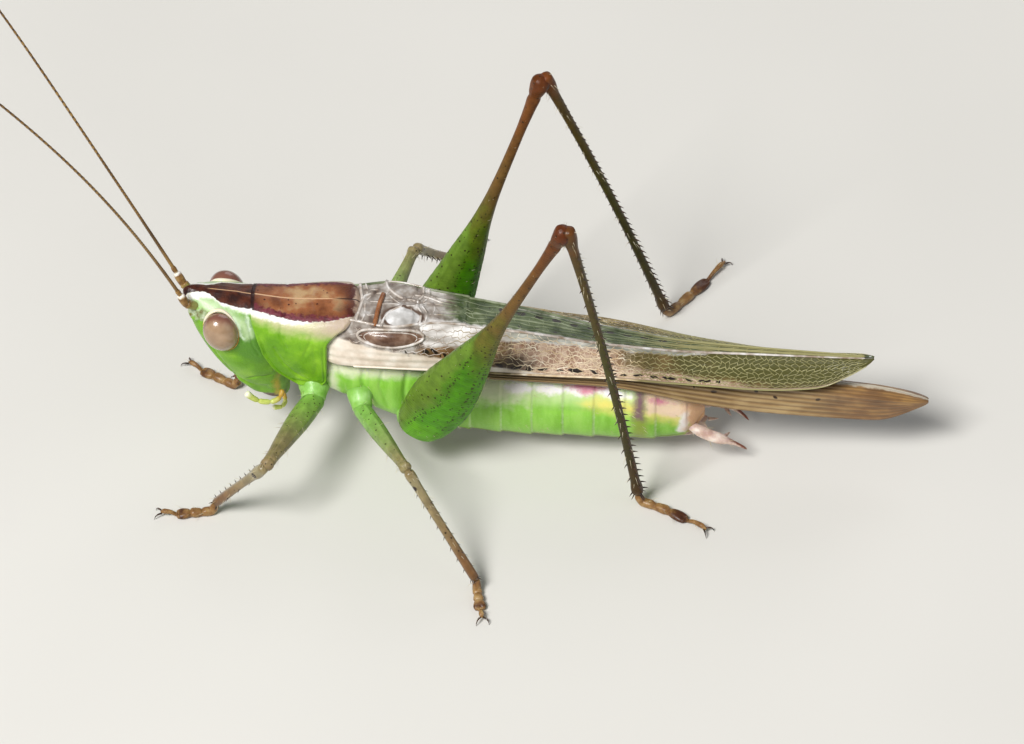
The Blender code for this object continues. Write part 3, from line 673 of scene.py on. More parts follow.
# %% [markdown]
# ## The saddle
# Behind the head a saddle-shaped plate, the pronotum, covers the front of the chest. It is flat on
# top, turns over two shoulders, and hangs down in a deep lobe on each side. The lower edge of the
# lobe slants up to the front. Its rim is a raised bead, and two shallow grooves cross its back.
# %% Saddle plate
PLATE = 0.40                                 # thickness at the rim, mm
along = np.linspace(0, 1, 150)[:, None]
around = np.linspace(-1, 1, 301)[None]


def saddle_point(along, around, depth=0.0):
    """Point of the saddle: along goes from its front to its hind edge, around from the left margin
    at -1 over the back to the right margin at 1. The top is a quarter superellipse on each side."""
    t = np.abs(around) + 0 * along
    level = curve(t, ((0.0, 5.15), (0.3, 4.98), (0.5, 4.45), (0.6, 3.95), (1.0, 2.75)))
    front = curve(level, ((2.75, -1.62), (2.99, -1.96), (3.31, -2.38), (3.94, -2.71), (4.71, -2.93),
                          (5.15, -3.08)))
    rear = curve(level, ((2.75, -1.10), (3.10, -0.88), (4.40, -0.86), (4.80, -0.62), (5.15, 0.0)))
    x = front + (rear - front) * along
    width = curve(x, ((-3.1, 0.92), (-2.0, 1.12), (-1.0, 1.22), (0.0, 1.16))) - depth
    top = curve(x, ((-3.1, 5.22), (-1.9, 5.1), (-0.3, 5.18), (0.0, 5.14))) - depth
    power = curve(x, ((-3.1, 2.6), (-1.9, 2.8), (0.0, 3.2)))
    turn = np.minimum(t / 0.6, 1) * math.pi / 2
    down = np.maximum(t - 0.6, 0) / 0.4
    y = width * np.sin(turn) ** (2 / power) - 0.08 * down ** 2
    z = 3.85 + (top - 3.85) * np.maximum(np.cos(turn), 0) ** (2 / power) - 1.10 * down
    return np.stack([x, np.sign(around) * y, z], -1)


saddle = saddle_point(along, around)
half = np.abs(saddle) * (-1, 1, 1)           # both halves laid over the right one
edge = np.minimum(np.minimum(along, 1 - along) * 3.0, (1 - np.abs(around)) * 2.6)
bead = (0.035 * bump(edge - 0.05, 0.05) - 0.030 * bump(edge - 0.16, 0.06)) * ease(np.abs(around), 0.42, 0.6)
folds = folded((
    (half, ((-2.25, 0, 5.2), (-2.1, 0.5, 5.1), (-2.2, 1.0, 4.6), (-2.0, 1.1, 4.2)), -0.030, 0.05),
    (half, ((-1.35, 0, 5.2), (-1.2, 0.5, 5.1), (-1.3, 1.1, 4.6), (-1.5, 1.2, 4.0)), -0.025, 0.06),
    (half, ((-2.35, 1.05, 4.1), (-2.1, 1.1, 3.6), (-1.7, 1.15, 3.2), (-1.35, 1.15, 3.0)), -0.030, 0.06),
    (half, ((-1.25, 1.2, 4.3), (-1.15, 1.2, 3.7), (-1.2, 1.15, 3.2)), -0.025, 0.10),
    (half, ((-1.75, 1.15, 3.9), (-1.6, 1.2, 3.6)), 0.05, 0.35)), bead - 0.06 * bump(1 - along, 0.02))
folds = folds - 0.012 * bump(half[..., 1], 0.025)             # keel along the middle
saddle = saddle + folds[..., None] * facing(saddle, wrap=False)
lining = saddle_point(along, around, PLATE * 0.5)

# Fields of the markings: how far inside each of them a point lies
sx = half[..., 0]
over = half[..., 1] + 5.2 - half[..., 2]     # way down from the middle line, nearly
border = curve(sx, ((-3.1, 0.60), (-2.4, 0.84), (-1.55, 1.02), (-0.9, 0.98), (-0.4, 0.80), (0, 0.66)))
whiteness = curve(sx, ((-3.1, 0.24), (-2.2, 0.22), (-1.5, 0.10), (-0.9, -0.03), (0, -0.05)))
disc = border - over
pale = border + whiteness - over
cream = border + whiteness + curve(sx, ((-3.1, 0.10), (-2.2, 0.26), (-1.2, 0.55), (0, 0.95))) - over
middle = 0.021 - half[..., 1]


def saddle_paint(tree, place):
    """Leaf green lobes, a beige and cream border with a white edge, and a brown back edged with
    maroon, with specks, a pale hind rim and a thin middle line: pale in front, dark behind."""
    green = layers(tree, place, ("#5f9414", "#74a81c", 0.6, "#8abb2c"),
                   ("#bdba88", "cream", 0.28, 0.10, 0.3),
                   ("#b8a590", "beige", 0.35, 0.06, 0.3),
                   ("#efeee6", "pale", 0.11, 0.05, 0.12))
    maroon = mottled(tree, place, "#4a181e", "#76303c", 0.15)
    brown = layers(tree, place, ("#6a3a1e", "#945c38", 0.6, "#b4936a"),
                   ("#4a1e14", "dusk", 0.35, 0.2, 0.3),
                   ("#401a10", remap(tree, cells(tree, place, 0.22), 0.10, 0.17), 0.6),
                   ("#a9907c", "rear", 0.06, 0.10, 0.2))
    back = layers(tree, place, maroon,
                  (brown, "inner_disc", 0.08, 0.10, 0.12),
                  ("#cfa882", "front_line", 0.012),
                  # painted shade: a dark line along the saddle's front edge, where it meets the head
                  ("#2a0f0a", "groove", 0.01),
                  ("#2d120c", "hind_line", 0.012))
    return layers(tree, place, green, (back, "disc", 0.025, 0.035, 0.1))


saddle_shell = finish("waxy saddle plate, green and brown", saddle_paint, WAXY, pores, 0.008)
plate("pronotum_plate", saddle, lining, saddle_shell, "pronotum_shell", ("pronotum",), disc=disc, pale=pale,
      cream=cream, beige=np.minimum(0.6 * (sx + 1.1), cream - 0.1),
      inner_disc=disc - 0.24 * ease(-sx, 0.2, 0.9), rear=sx + 0.16, dusk=np.maximum(sx + 0.45, -2.85 - sx),
      # the front edge's painted shade
      front_line=np.minimum(middle, -0.08 * (sx + 0.65)), groove=0.034 - along + 0 * over,
      hind_line=np.minimum(middle, 0.08 * (sx + 0.75)))
print("saddle plate:", COUNTS["pronotum_plate"], "triangles")

# %% [markdown]
# ## Chest and belly
# From the neck to the tail one skin runs without a seam. Each belly ring overlaps the next as in a
# folding telescope: its surface rises towards its hind edge and then steps in. The chest's sides
# are marked by slanting seams between its plates, which carry the legs.
# %% Trunk skin
SEGMENT = 0.875                              # length of one belly ring, mm
FIRST_RING = 2.3
x = np.concatenate([np.linspace(-2.0, 2.2, 110), np.linspace(2.2, 9.75, 330)[1:]])[:, None]
# Half width, height of the widest place, of the top and of the underside, from neck to tail
width = curve(x, ((-2.0, 0.55), (-1.3, 0.85), (-0.8, 1.06), (0.5, 1.17), (2.2, 1.13), (5.0, 1.09),
                  (8.0, 1.02), (9.3, 0.77), (9.75, 0.38)))
middle = curve(x, ((-2.0, 3.40), (-1.0, 3.10), (0.5, 2.62), (2.2, 2.10), (5.0, 1.94), (8.0, 1.90),
                   (9.3, 1.74), (9.75, 1.80)))
top = curve(x, ((-2.0, 4.30), (-1.2, 4.2), (-0.80, 3.88), (1.0, 3.86), (2.2, 3.48), (5.0, 3.16),
                (8.0, 3.02), (9.3, 2.58), (9.75, 2.12)))
under = curve(x, ((-2.0, 2.60), (-1.0, 2.27), (0.0, 1.77), (1.1, 1.18), (2.2, 0.87), (5.0, 0.66),
                  (8.0, 0.66), (9.3, 0.84), (9.75, 1.38)))
across, up = oval(full_turn(160)[None], 2.4)
lift = np.where(up > 0, top - middle, middle - under)
trunk = np.stack([x + 0 * up, across * width, middle + up * lift], -1)
share = (x - FIRST_RING) / SEGMENT
share = share - np.floor(share)
telescope = 0.05 * (share ** 1.4 * (1 - ease(share, 0.90, 1.0)) - 0.5) * ease(x, 2.2, 2.6)
chest = 1 - ease(x, 1.9, 2.4)
plan = trunk[..., (0, 2)]                    # seen from the side
folds = folded([(plan, line, tall, wide, chest) for line, tall, wide in (
    (((-0.62, 3.9), (-0.45, 3.0), (-0.30, 2.1)), -0.05, 0.06),                    # slanting seams
    (((0.18, 3.7), (0.10, 3.1), (0.30, 2.3), (0.35, 1.6)), -0.06, 0.06),
    (((0.72, 3.6), (0.60, 2.9), (0.85, 2.1)), -0.04, 0.05),
    (((1.38, 3.5), (1.30, 2.8), (1.35, 1.9), (1.30, 1.3)), -0.06, 0.06),
    (((1.95, 3.3), (1.80, 2.7), (1.9, 2.1)), -0.04, 0.05),
    (((-0.3, 2.3), (0.5, 1.75), (1.3, 1.45)), -0.04, 0.06),
    (((-0.2, 3.0), (-0.1, 2.6)), 0.04, 0.25),                                     # plates between them
    (((1.0, 2.9), (1.05, 2.2)), 0.05, 0.25))], telescope)
folds = folds - 0.045 * bump(trunk[..., 2] - (under + 0.36), 0.07) * ease(x, 2.3, 2.9)
folds = folds - 0.020 * bump(trunk[..., 2] - (under + 1.55), 0.10) * ease(x, 2.3, 2.9)
trunk = trunk + folds[..., None] * facing(trunk)

# Fields of the markings: how far inside each of them a point lies
height = trunk[..., 2]
skirt = curve(x, ((2.0, 3.36), (6.8, 3.28), (9.6, 2.62))) - height       # way down from the wing's edge
beside = 0.22 * np.abs(share - 0.5)          # patches narrow towards the ends of each ring
patches = 0.15 - np.abs(skirt - 0.50) - beside - np.maximum(np.abs(x - 5.9) - 1.8, 0) * 2
plan = np.stack([x + 0 * height, height], -1)
patches = np.maximum(patches, 0.16 - near(plan, ((9.25, 1.95), (9.15, 1.45))))
pink = 0.16 - np.abs(skirt - 0.42) - 0.3 * np.minimum(np.abs(x - 6.40), np.abs(x - 8.45) + 0.25)
# Painted shadow of the left hind shin cast across the belly: purple above, olive green lower down
dusky = np.minimum(0.13 - np.abs(x - 7.92), 1.15 - skirt)
murky = 0.20 - np.abs(x - 7.95) - 0.1 * (skirt < 1.0)
yellow = 0.20 - np.abs(skirt - 0.84) - 0.5 * np.maximum(np.abs(x - 7.9) - 1.2, 0)
peach = np.minimum(x - 8.0, 0.85 - skirt)
cream = np.where(x < FIRST_RING,
                 np.maximum(height - 3.20, np.minimum(0.12 - np.abs(x + 0.72), height - 2.5)),
                 np.minimum(0.85 - skirt, 4.6 - x) * 0.4)


def trunk_paint(tree, place):
    """Pale green sides over a darker olive belly, cream under the wings, glossy white patches with a
    pink flush on the rings, a painted shadow of the left hind shin, purple above and olive below,
    yellow towards the tail and peach at its end."""
    streaks = add(tree, "Mapping", {"Vector": place, "Scale": (1.0, 0.25, 0.25)})
    return layers(tree, place, mottled(tree, streaks, "#7cb634", "#8cc648", 0.3, "#9cce58"),
                  ("#b4d888", "fold", 0.10, 0.05, 0.1),
                  ("#8c9c50", "belly", 0.14, 0.05, 0.2),
                  ("#cddfa6", "under_wing", 0.36, 0.05, 0.25),
                  ("#d3dab4", "cream", 0.14, 0.06, 0.25),
                  ("#e4da74", "yellow", 0.28, 0.08, 0.3),
                  ("#ecd2b4", "peach", 0.18, 0.12, 0.3),
                  ("#eeeae6", "patch", 0.08, 0.04, 0.12),
                  ("#cf8496", "pink", 0.10, 0.05, 0.14),
                  # painted shadow of the left hind shin: olive below, purple above
                  ("#8ca03c", "murky", 0.16, 0.03, 0.12),
                  ("#80606a", "dusky", 0.16, 0.05, 0.12),
                  ("#d2a67e", "tail", 0.25, 0.1, 0.3))


trunk_skin = finish("soft waxy cuticle of the trunk", trunk_paint,
                    {**WAXY, "Subsurface Weight": 0.35, "Roughness": 0.34}, pores, 0.006)
skin("trunk", trunk, trunk_skin, "body_shell", ("thorax", "abdomen"), yellow=yellow, cream=cream,
     peach=peach, patch=patches, pink=pink, dusky=dusky, murky=murky, belly=0.34 - (height - under),
     fold=bump(share - 0.97, 0.05) * 0.14 - 0.10 - (x < FIRST_RING),
     under_wing=np.where(x > 2.6, 0.78 - skirt, -1.0), tail=x - 9.25)
print("trunk:", COUNTS["trunk"], "triangles")

# %% [markdown]
# ## Forewings
# The forewings are narrow leathery covers. Each has a flat field on the back, a fold, and a side
# field that slopes down over the body. The wings of the two sides overlap at their base, the left
# one on top, and there the male makes his song: a thick toothed vein rubs under the other wing's
# edge, and a clear drum of skin, the mirror, sends the sound out.
# The veins are real thin tubes on the sheet, because their raised lines are what catches the
# light. Between the main veins small cross veins make a net of six-sided cells. A lattice gives
# their corners, and a slow wave bends it so that no two cells are alike.
# %% Shape of a forewing
TEGMEN_TIP = 14.45
# Height of the back, height of the lower edge and its distance from the middle line, along x
WING_ROOF = ((-0.8, 5.02), (1.5, 5.03), (4.5, 4.72), (7.0, 4.24), (9.5, 3.98), (14.5, 3.90))
TEGMEN_EDGE = ((-0.8, 3.75), (6.0, 3.75), (9.6, 3.34), (12.0, 3.02), (13.0, 3.08), (13.8, 3.34),
               (14.5, 3.62))
TEGMEN_SIDE = ((-1.0, 1.02), (-0.5, 1.22), (0, 1.25), (5.5, 1.24), (9.6, 0.92), (12, 0.62), (14.5, 0.40))
THIRD = 1 / 3                                # v of the fold
ROWS = 8                                     # rows of cells down the side field
CELL = 0.19                                  # length of a cell, mm
FILM = 0.05                                  # thickness of the wing sheet, mm
DRUM = (0.92, 0.93, 0.28, 0.19)              # middle and half length in x, and in share of the side
# Upper border of the cream stretch along the lower edge: x, and share of the side field
COAST = ((-0.8, 0.32), (0.2, 0.47), (1.0, 0.54), (2.0, 0.66), (2.8, 0.76), (4.5, 0.88), (6.0, 0.97),
         (9.0, 1.02))
COAST_X, COAST_ROW = np.transpose(COAST)


def wing_ridge(x):
    """Distance of the fold from the middle line, widest over the drum."""
    return 0.04 + 0.60 * np.exp(-(x / 8.2) ** 2) + 0.26 * bump(x - 0.9, 0.9)


def wing_inner(x):
    """How far a wing reaches past the middle line."""
    return 0.02 + 0.40 * (1 - ease(x, 1.6, 3.4))


def forewing(x, v, under=0.0):
    """Point of a forewing, y outwards: v runs from the inner edge at 0 to the fold at a third and
    the lower edge at 1. The side field is a straight slope plus a half sine bulge, and the tip
    is an ellipse. under lowers the inner part, where one wing lies under the other."""
    tip = np.sqrt(np.clip(1 - np.maximum((x - 12.6) / 1.86, 0) ** 2, 0, 1))
    roof = curve(x, WING_ROOF)
    ridge = wing_ridge(x) * (0.2 + 0.8 * tip)
    low_y = ridge + (curve(x, TEGMEN_SIDE) - ridge) * tip
    low_z = roof - (roof - curve(x, TEGMEN_EDGE)) * (0.02 + 0.98 * tip)
    flat = np.minimum(3 * v, 1)
    fold = np.maximum(v - THIRD, 0) * 1.5
    y = (-wing_inner(x) + (ridge + wing_inner(x)) * flat + (low_y - ridge) * fold
         + 0.10 * tip * np.sin(math.pi * fold))
    z = roof + (low_z - roof) * fold + 0.10 * bump(x - 1.0, 1.0) * (1 - (2 * flat - 1) ** 2) * (v < THIRD)
    z = z - under * (1 - flat) * (1 - ease(x, 1.6, 3.4)) - 0.05 * bump(fold, 0.12) * (x > 3)
    return np.stack([x + 0 * v, y + 0 * x, z], -1)


def bend_net(x, row):
    """Where a corner of the even lattice goes: slow waves along and across bend the net, less so
    towards the tip, and not at all on the fold and the lower edge."""
    wave = 0.30 * np.sin(2.9 * x + 0.9 * row) + 0.30 * np.sin(9.7 * x + 2.6 * row)
    hold = np.sin(math.pi * np.clip(row / ROWS, 0, 1))
    return (x + 0.07 * np.sin(2.3 * x + 1.7 * row) + 0.05 * np.sin(7.1 * x - 2.9 * row),
            row + wave * (1 - 0.65 * ease(x, 6.5, 9)) * hold)


def side_v(row):
    """v at a row of the side field."""
    return THIRD + row / ROWS * 2 / 3


def wing_start(v):
    """x where the wing begins: it leaves from under the saddle's hind edge, which slants."""
    return curve(v, ((0.0, -0.25), (0.33, -0.30), (0.45, -0.80), (0.6, -0.98), (1.0, -0.98)))


def on_back(x, y):
    """v of a place on the back field, y outwards from the middle line."""
    return np.clip((y + wing_inner(x)) / (wing_ridge(x) + wing_inner(x)), 0, 1) / 3


def inside(x, y, long, wide):
    """How far inside an oval a place is: 1 in its middle, 0 on its rim."""
    return 1 - np.sqrt((x / long) ** 2 + (y / wide) ** 2)


v = np.linspace(0, 1, 76)[None]
u = stations(1.0, 0.03, 400, 10)[:, None]
x = wing_start(v) + (TEGMEN_TIP - wing_start(v)) * u
row = (v - THIRD) * 1.5 * ROWS
wave_x, wave_row = bend_net(x, row)
cell_x, cell_row = 2 * x - wave_x, 2 * row - wave_row        # the wave taken off again, nearly
number = np.floor(cell_row)
level = np.abs(cell_row - number - 0.5)
step = np.where(x < 3, 0.24, 0.44)           # mm from one dark cell of the side field to the next
off = np.abs(cell_x / step - np.round(cell_x / step)) * step
spotted = (number == np.select((x < 2.3, x < 3.2), (4, 5), 6)) & (x > 1.3) & (x < 10.2)
side_spots = np.where(spotted, inside(off, level, np.where(x < 3, 0.08, 0.15), 0.55)
                      - 0.15 * (1 + np.sin(5 * x)), -1)
spotted = (x > 3.6) & (x < 9) & (v < THIRD)
back_spots = np.where(spotted, inside(x / 0.5 - np.round(x / 0.5), v - 0.19, 0.26, 0.06), -1)
fold = np.maximum(v - THIRD, 0) * 1.5        # share of the side field: 0 on the fold, 1 below
drum = np.maximum(inside(x - DRUM[0], fold - DRUM[2], DRUM[1], DRUM[3]), -1)
# Area of the mirror on the wing's back: it swells a little, and on the left wing its near-white paint is a
# painted reflection
mirror = np.where(v < THIRD, inside(x - 1.22, v - on_back(x, 0.55), 0.5, 0.085), -1)
coast = fold - curve(x, COAST)
hem_tan = 3.5 * ease(fold, 0.45, 0.9) * ease(x, 6.0, 8.5)     # carries the tan below further back
# Painted highlight along the fold: a pale band at its edge on the back, reaching down the side field from
# 1.7 mm back
streaks = ((1.7, 0.0), (1.9, 0.42), (3.0, 0.42), (3.9, 0.24), (5.0, 0.17), (9.0, 0.09), (10.5, -0.1))
silver = np.where(v < THIRD, 0.04 - (THIRD - v), curve(x, streaks) - fold) - (x < 1.7)
# Painted shadow: a thin dark line on the left wing's back, along the shadowed gap between the two wings
streak = 0.012 - np.abs(v - 0.302) - 0.02 * np.maximum(np.abs(x - 5.0) - 0.8, 0)
pillow = 0.015 * (np.sqrt(np.clip(1 - (2 * level) ** 2, 0, 1)) - 0.5) * (v > THIRD)
ribs = 0.009 * np.cos(TAU * 3.5 * (fold - 0.4) / 0.6) * ease(coast, 0.0, 0.06)
swell = np.where(coast > 0, ribs, pillow) + 0.08 * ease(drum, 0, 0.7) + 0.05 * ease(mirror, 0, 0.6)
print("forewing sheet:", x.shape[0], "by", x.shape[1], "points")

# %% [markdown]
# ### Finish of the forewings: smoky membrane and horny veins
# A wing is a film of cuticle a few hundredths of a millimetre thick. It is smoky brown, and so
# glossy that the flat parts mirror the sky. The veins are thicker and paler, golden on the sides
# and silvery over the drum. The film is opaque here, in the colour that it shows over the body
# below it, because seen through at this size it would only blur. A pale band along the fold is
# painted highlight, and so is the silvery fold vein of the left wing; the mirror's near-white is a
# painted reflection.
# %% Wing finishes
def film_paint(tree, place):
    """Smoky brown side with a pale tan stretch and a darker one, olive towards the tip, green-grey
    back, a painted highlight along the fold, a painted gap shadow on the left wing's back, drum and
    mirror at the base, the mirror's near-white a painted reflection, and cream along the lower edge."""
    lace = remap(tree, cells(tree, place, 0.15, feature="DISTANCE_TO_EDGE"), 0.0, 0.10)
    lace = sums(tree, "MINIMUM", lace, field_of(tree, "tan"))
    sheen = add(tree, "Mapping", {"Vector": place, "Scale": (0.3, 1.0, 1.0)})
    foil = mottled(tree, sheen, "#9c948a", "#d8d2cc", 0.25, "#f2eeea")
    dull_foil = mottled(tree, sheen, "#77776a", "#a3a294", 0.2, "#d4d2c8")
    rim = sums(tree, "ADD", field_of(tree, "mirror"), 0.22)
    return layers(tree, place, ("#5a4228", "#7a5c3a", 0.4, "#94744c"),
                  (("#8b6850", "#b0907a", 0.3, "#cdb49c"), "tan", 0.5, 0.3, 0.4),
                  ("#d8c2a6", lace, 1.0),
                  ("#46382a", "smudge", 0.55, 0.3, 0.25),
                  ("#4c4a20", "apex", 2.6, 0.8, 0.6),
                  (("#2c3a1c", "#44522e", 0.5, "#626c48"), "back", 0.06, 0.03, 0.3),
                  (("#3a3a1a", "#4e4c28", 0.5, "#66623a"), "late", 1.5, 0.3, 0.4),
                  ("#a48f7a", "hem", 0.02, 0.01, 0.3),
                  (("#63544a", "#948a80", 0.30, "#bab4ae"), "base", 0.35, 0.2, 0.4),
                  # painted highlight along the fold, in duller hues past 4.3 mm
                  (foil, "silver", 0.05, 0.04, 0.25),
                  (dull_foil, "silver_end", 0.04, 0.02, 0.25),
                  ("#1c120a", "spots", 0.18),
                  # painted shadow of the gap between the wings
                  ("#1c1a16", "streak", 0.006),
                  ("#5c493c", rim, 0.08, 0.04, 0.1),
                  # the mirror's near-white hues: a painted reflection on the glossy drum skin
                  (("#96928c", "#c6c3bf", 0.45, "#eeecea"), "mirror", 0.05, 0.02, 0.1),
                  (("#4a3022", "#6f5240", 0.3, "#8c7462"), "drum", 0.08),
                  (("#c9b8a4", "#dccfbe", 0.4, "#e6dccf"), "coast", 0.03, 0.02, 0.2))


def crinkle(tree, place):
    """Crinkled film: lumps an eighth of a millimetre wide."""
    return grain(tree, place, 0.12, 2.0)


GLOSSY = {"Roughness": 0.36, "Coat Weight": 0.4, "Coat Roughness": 0.12, "Specular IOR Level": 0.35,
          "IOR": 1.5}
film = finish("smoky glossy wing membrane", film_paint, GLOSSY, crinkle, 0.012)
# Golden brown, paler over the tan stretch; olive on the back, silvery at the base, cream on the edge;
# silvery all along the left wing's fold vein, a painted highlight
vein_horn = finish("golden horny wing veins", paint_of(
    ("#6e5c36", "#917f52", 0.4, "#ac9a6a"),
    (("#c8ac84", "#e6d4b4", 0.25, "#f6ecd8"), "light", 0.5, 0.4, 0.4),
    (("#4a5438", "#747c5c", 0.5, "#9ca488"), "olive", 0.1),
    (("#94806c", "#c4bab0", 0.3, "#e2deda"), "base", 0.5, 0.2, 0.4),
    ("#989260", "far", 1.0),
    ("#e6d9c8", "cream", 0.1)),
    {"Roughness": 0.38, "Coat Weight": 0.3, "Coat Roughness": 0.15}, crinkle, 0.003)
file_horn = finish("orange horn of the file vein", paint_of(("#7c4a2a", "#a06a42", 0.2)), GLOSSY,
                   crinkle, 0.003)
print("wing finishes:", film.name, "and", vein_horn.name)

# %% [markdown]
# ### Veins
# Each vein has a tone, which says how it is coloured: plain in the net, or olive, cream, silvery;
# the silvery fold vein of the left wing is a painted highlight.
# The male's song veins are laid one by one, as lines on the back field. The left wing alone shows its
# toothed file, for the right wing's is hidden under it.
# %% Sheets and veins of the forewings
NET, BACK, LOWER, SONG, FOLD = range(5)      # tones of the veins


def wing_line(x, v, under, radius, turns=5, lift=0.3):
    """Tubes along lines of the wing sheet, with thin ends. lift raises them off it, in radii."""
    path = forewing(x, v, under) + (0, 0, lift * np.max(radius))
    last = np.isin(np.arange(x.shape[-1]), (0, x.shape[-1] - 1))
    grid = rings(path, np.broadcast_to(radius, x.shape) * np.where(last, 0.3, 1.0), turns=turns,
                 upright=(0.05, 0.5, 1))
    return tubes(grid if grid.ndim == 4 else grid[None])


def smooth_line(knots, steps):
    """x and y of a curve through knots, evenly spaced by the knots' own distance."""
    places = distances(knots)
    return through(np.linspace(0, places[-1], steps), places, knots).T


SONG_VEINS = (                               # (x, y outwards) on the back field, then the radius, mm
    (((0.66, 0.88), (0.74, 0.60), (1.25, 0.16), (1.60, 0.12)), 0.034),
    (((1.60, 0.12), (1.74, 0.40), (1.72, 0.86)), 0.034),
    (((1.70, 0.02), (1.90, 0.40), (1.86, 0.80)), 0.026),
    (((0.66, 0.88), (1.20, 0.92), (1.72, 0.86)), 0.030),
    (((0.34, -0.36), (0.10, -0.20), (0.02, 0.25), (-0.08, 0.80)), 0.045),
    (((0.34, -0.36), (0.14, 0.10), (0.16, 0.45), (0.06, 0.85)), 0.026),
    (((0.34, -0.36), (0.70, -0.40), (1.1, -0.39), (1.7, -0.35), (2.3, -0.17), (2.75, -0.10)), 0.030),
    (((1.74, 0.40), (2.2, 0.33), (2.8, 0.27)), 0.022),
    (((1.60, 0.12), (1.9, -0.08), (2.6, -0.05)), 0.022),
    (((1.72, 0.86), (2.2, 0.68), (2.8, 0.56)), 0.024),
    (((1.42, 0.14), (1.50, 0.50), (1.46, 0.90)), 0.014),
    (((0.60, 0.10), (0.95, 0.08), (1.25, 0.16)), 0.018),
    (((0.14, 0.45), (0.30, 0.52), (0.47, 0.50)), 0.016),
    (((0.12, 0.02), (0.32, -0.02), (0.55, 0.00)), 0.016),
    (((0.75, -0.38), (0.95, -0.10), (1.25, 0.16)), 0.018),
    (((2.05, 0.36), (2.1, 0.10), (2.0, -0.09)), 0.013))
STOUT = {0: 0.040, 3: 0.018, 6: 0.018, ROWS: 0.032}          # radius of the main lengthwise veins
back_plan = np.stack([x + 0 * v, v * 3 * (wing_ridge(x) + wing_inner(x)) - wing_inner(x)], -1)
creases = sum(1.5 * radius * bump(near(back_plan, line), 0.055) for line, radius in SONG_VEINS) * (v < 0.36)
for name, way, under in (("left", -1, 0.0), ("right", 1, 0.075)):
    left, right = name == "left", name == "right"
    outer = forewing(x, v, under)
    out = facing(outer, wrap=False)
    outer = outer + ((swell + creases) * (1 - ease(x, 13.6, 14.3)))[..., None] * out
    inner = forewing(x, v, under) - FILM * out * np.array((0.4, 1, 1))
    inner[..., 2] = np.minimum(inner[..., 2], outer[..., 2] - 0.01)
    side = np.array((1, way, 1))
    plate("forewing_" + name, outer * side, inner * side, film, "forewing", ("tegmen_" + name,),
          spots=np.maximum(side_spots, back_spots - 0.6 * left), drum=drum, coast=coast,
          # the painted gap shadow is on the left wing only
          mirror=np.where(left, mirror, -1.0), streak=np.where(left, streak, -1.0),
          back=(THIRD - v) * 3 + 0 * x + 0.25 * right, base=2.5 - x - 0.9 * ease(fold, 0.42, 0.50),
          # painted highlight along the fold, weaker on the right wing past 3 mm
          silver=silver - 0.5 * ease(x, 2.2, 3.2) * right, silver_end=np.minimum(silver, 0.2 * (x - 4.3)),
          apex=x - 8.0 - hem_tan if left else np.maximum(x - 8.0, 8 * (0.40 - fold)),
          tan=1.5 - np.abs(x - 5.9) + hem_tan - 5 * (fold < 0.45) * right, late=x - 10.0 - 9 * (v > THIRD),
          smudge=0.1 - np.abs(x - 4.3) + 0.5 * bump(fold - 0.75, 0.2), hem=fold - 0.93 - (x < 2.8))
    veins, tones = [], []

    def vein(x, v, radius, tone, **more):
        veins.append(wing_line(x, v, under, radius, **more))
        tones.append(np.full(len(veins[-1][0]), tone))

    for k in range(ROWS + 1):                # lengthwise veins of the side field
        m = np.arange(-2, int((TEGMEN_TIP - 0.25) / CELL * 2) + 1)
        even = np.repeat(m, 3)[:-2] + np.tile((0, 1 / 3, 2 / 3), len(m))[:-2]
        zigzag = (2 * np.abs((even + k) % 2 - 1) - 1) * (k not in (0, ROWS))
        lx, lr = bend_net(even * CELL / 2, k + (0.14 + 0.12 * ease(even * CELL / 2, 7, 9)) * zigzag)
        lr = np.clip(lr, 0, ROWS)
        border = np.interp(k / ROWS, COAST_ROW, COAST_X)     # the cream stretch has no net
        keep = (lx > wing_start(side_v(lr)) + 0.02) & ((k == ROWS) | (lx > border))
        thick = STOUT.get(k, 0.012) * (1 - 0.4 * ease(lx, 9, 14.4))
        vein(lx[keep], side_v(lr[keep]), thick[keep], {0: FOLD if left else BACK, ROWS: LOWER}.get(k, NET))
    for k in range(ROWS):                    # cross veins of the side field
        walls = np.arange(4, int((TEGMEN_TIP - 0.5) / CELL)) + 0.5 * (k % 2)
        walls = walls[walls * CELL > np.interp((k + 0.8) / ROWS, COAST_ROW, COAST_X)]
        ends = np.linspace(k + (0.17 if k else 0), k + 1 - (0.17 if k < ROWS - 1 else 0), 4)[None]
        lx, lr = bend_net(walls[:, None] * CELL, ends)
        vein(lx, side_v(lr), 0.010, NET, turns=4)
    for share in (0.34, 0.67):               # lengthwise and cross veins of the back field
        lx = np.linspace(2.9, 13.9, 160)
        wave = 0.06 * np.sin(TAU * lx / 0.8 + 4 * share)
        vein(lx, (share + wave) / 3, 0.014 * (1 - 0.5 * ease(lx, 8, 14)), BACK)
    walls = np.arange(3.1, 13.4, 0.40)[:, None]
    for low in (0, 0.34, 0.67):
        share = np.linspace(low, low + 0.33, 4)[None]
        vein(walls + 0.45 * low + 0.25 * (share - low), share / 3, 0.009, BACK, turns=4)
    lx = np.linspace(2.9, 14.2, 120)
    vein(lx, 0 * lx + 0.004, 0.016, BACK)
    for knots, radius in SONG_VEINS:
        lx, ly = smooth_line(knots, 40)
        vein(lx, on_back(lx, ly), radius, SONG, turns=8, lift=0.9)
    around = np.linspace(0, TAU, 64)         # two rings round the drum
    for grow, radius in ((1.0, 0.042), (0.80, 0.018)):
        lx, lf = DRUM[0] + DRUM[1] * grow * np.cos(around), DRUM[2] + DRUM[3] * grow * np.sin(around)
        vein(lx, THIRD + lf * 2 / 3, radius, NET, turns=8, lift=1.4)
    points, faces = joined(veins)
    tone, px = np.concatenate(tones), points[:, 0]
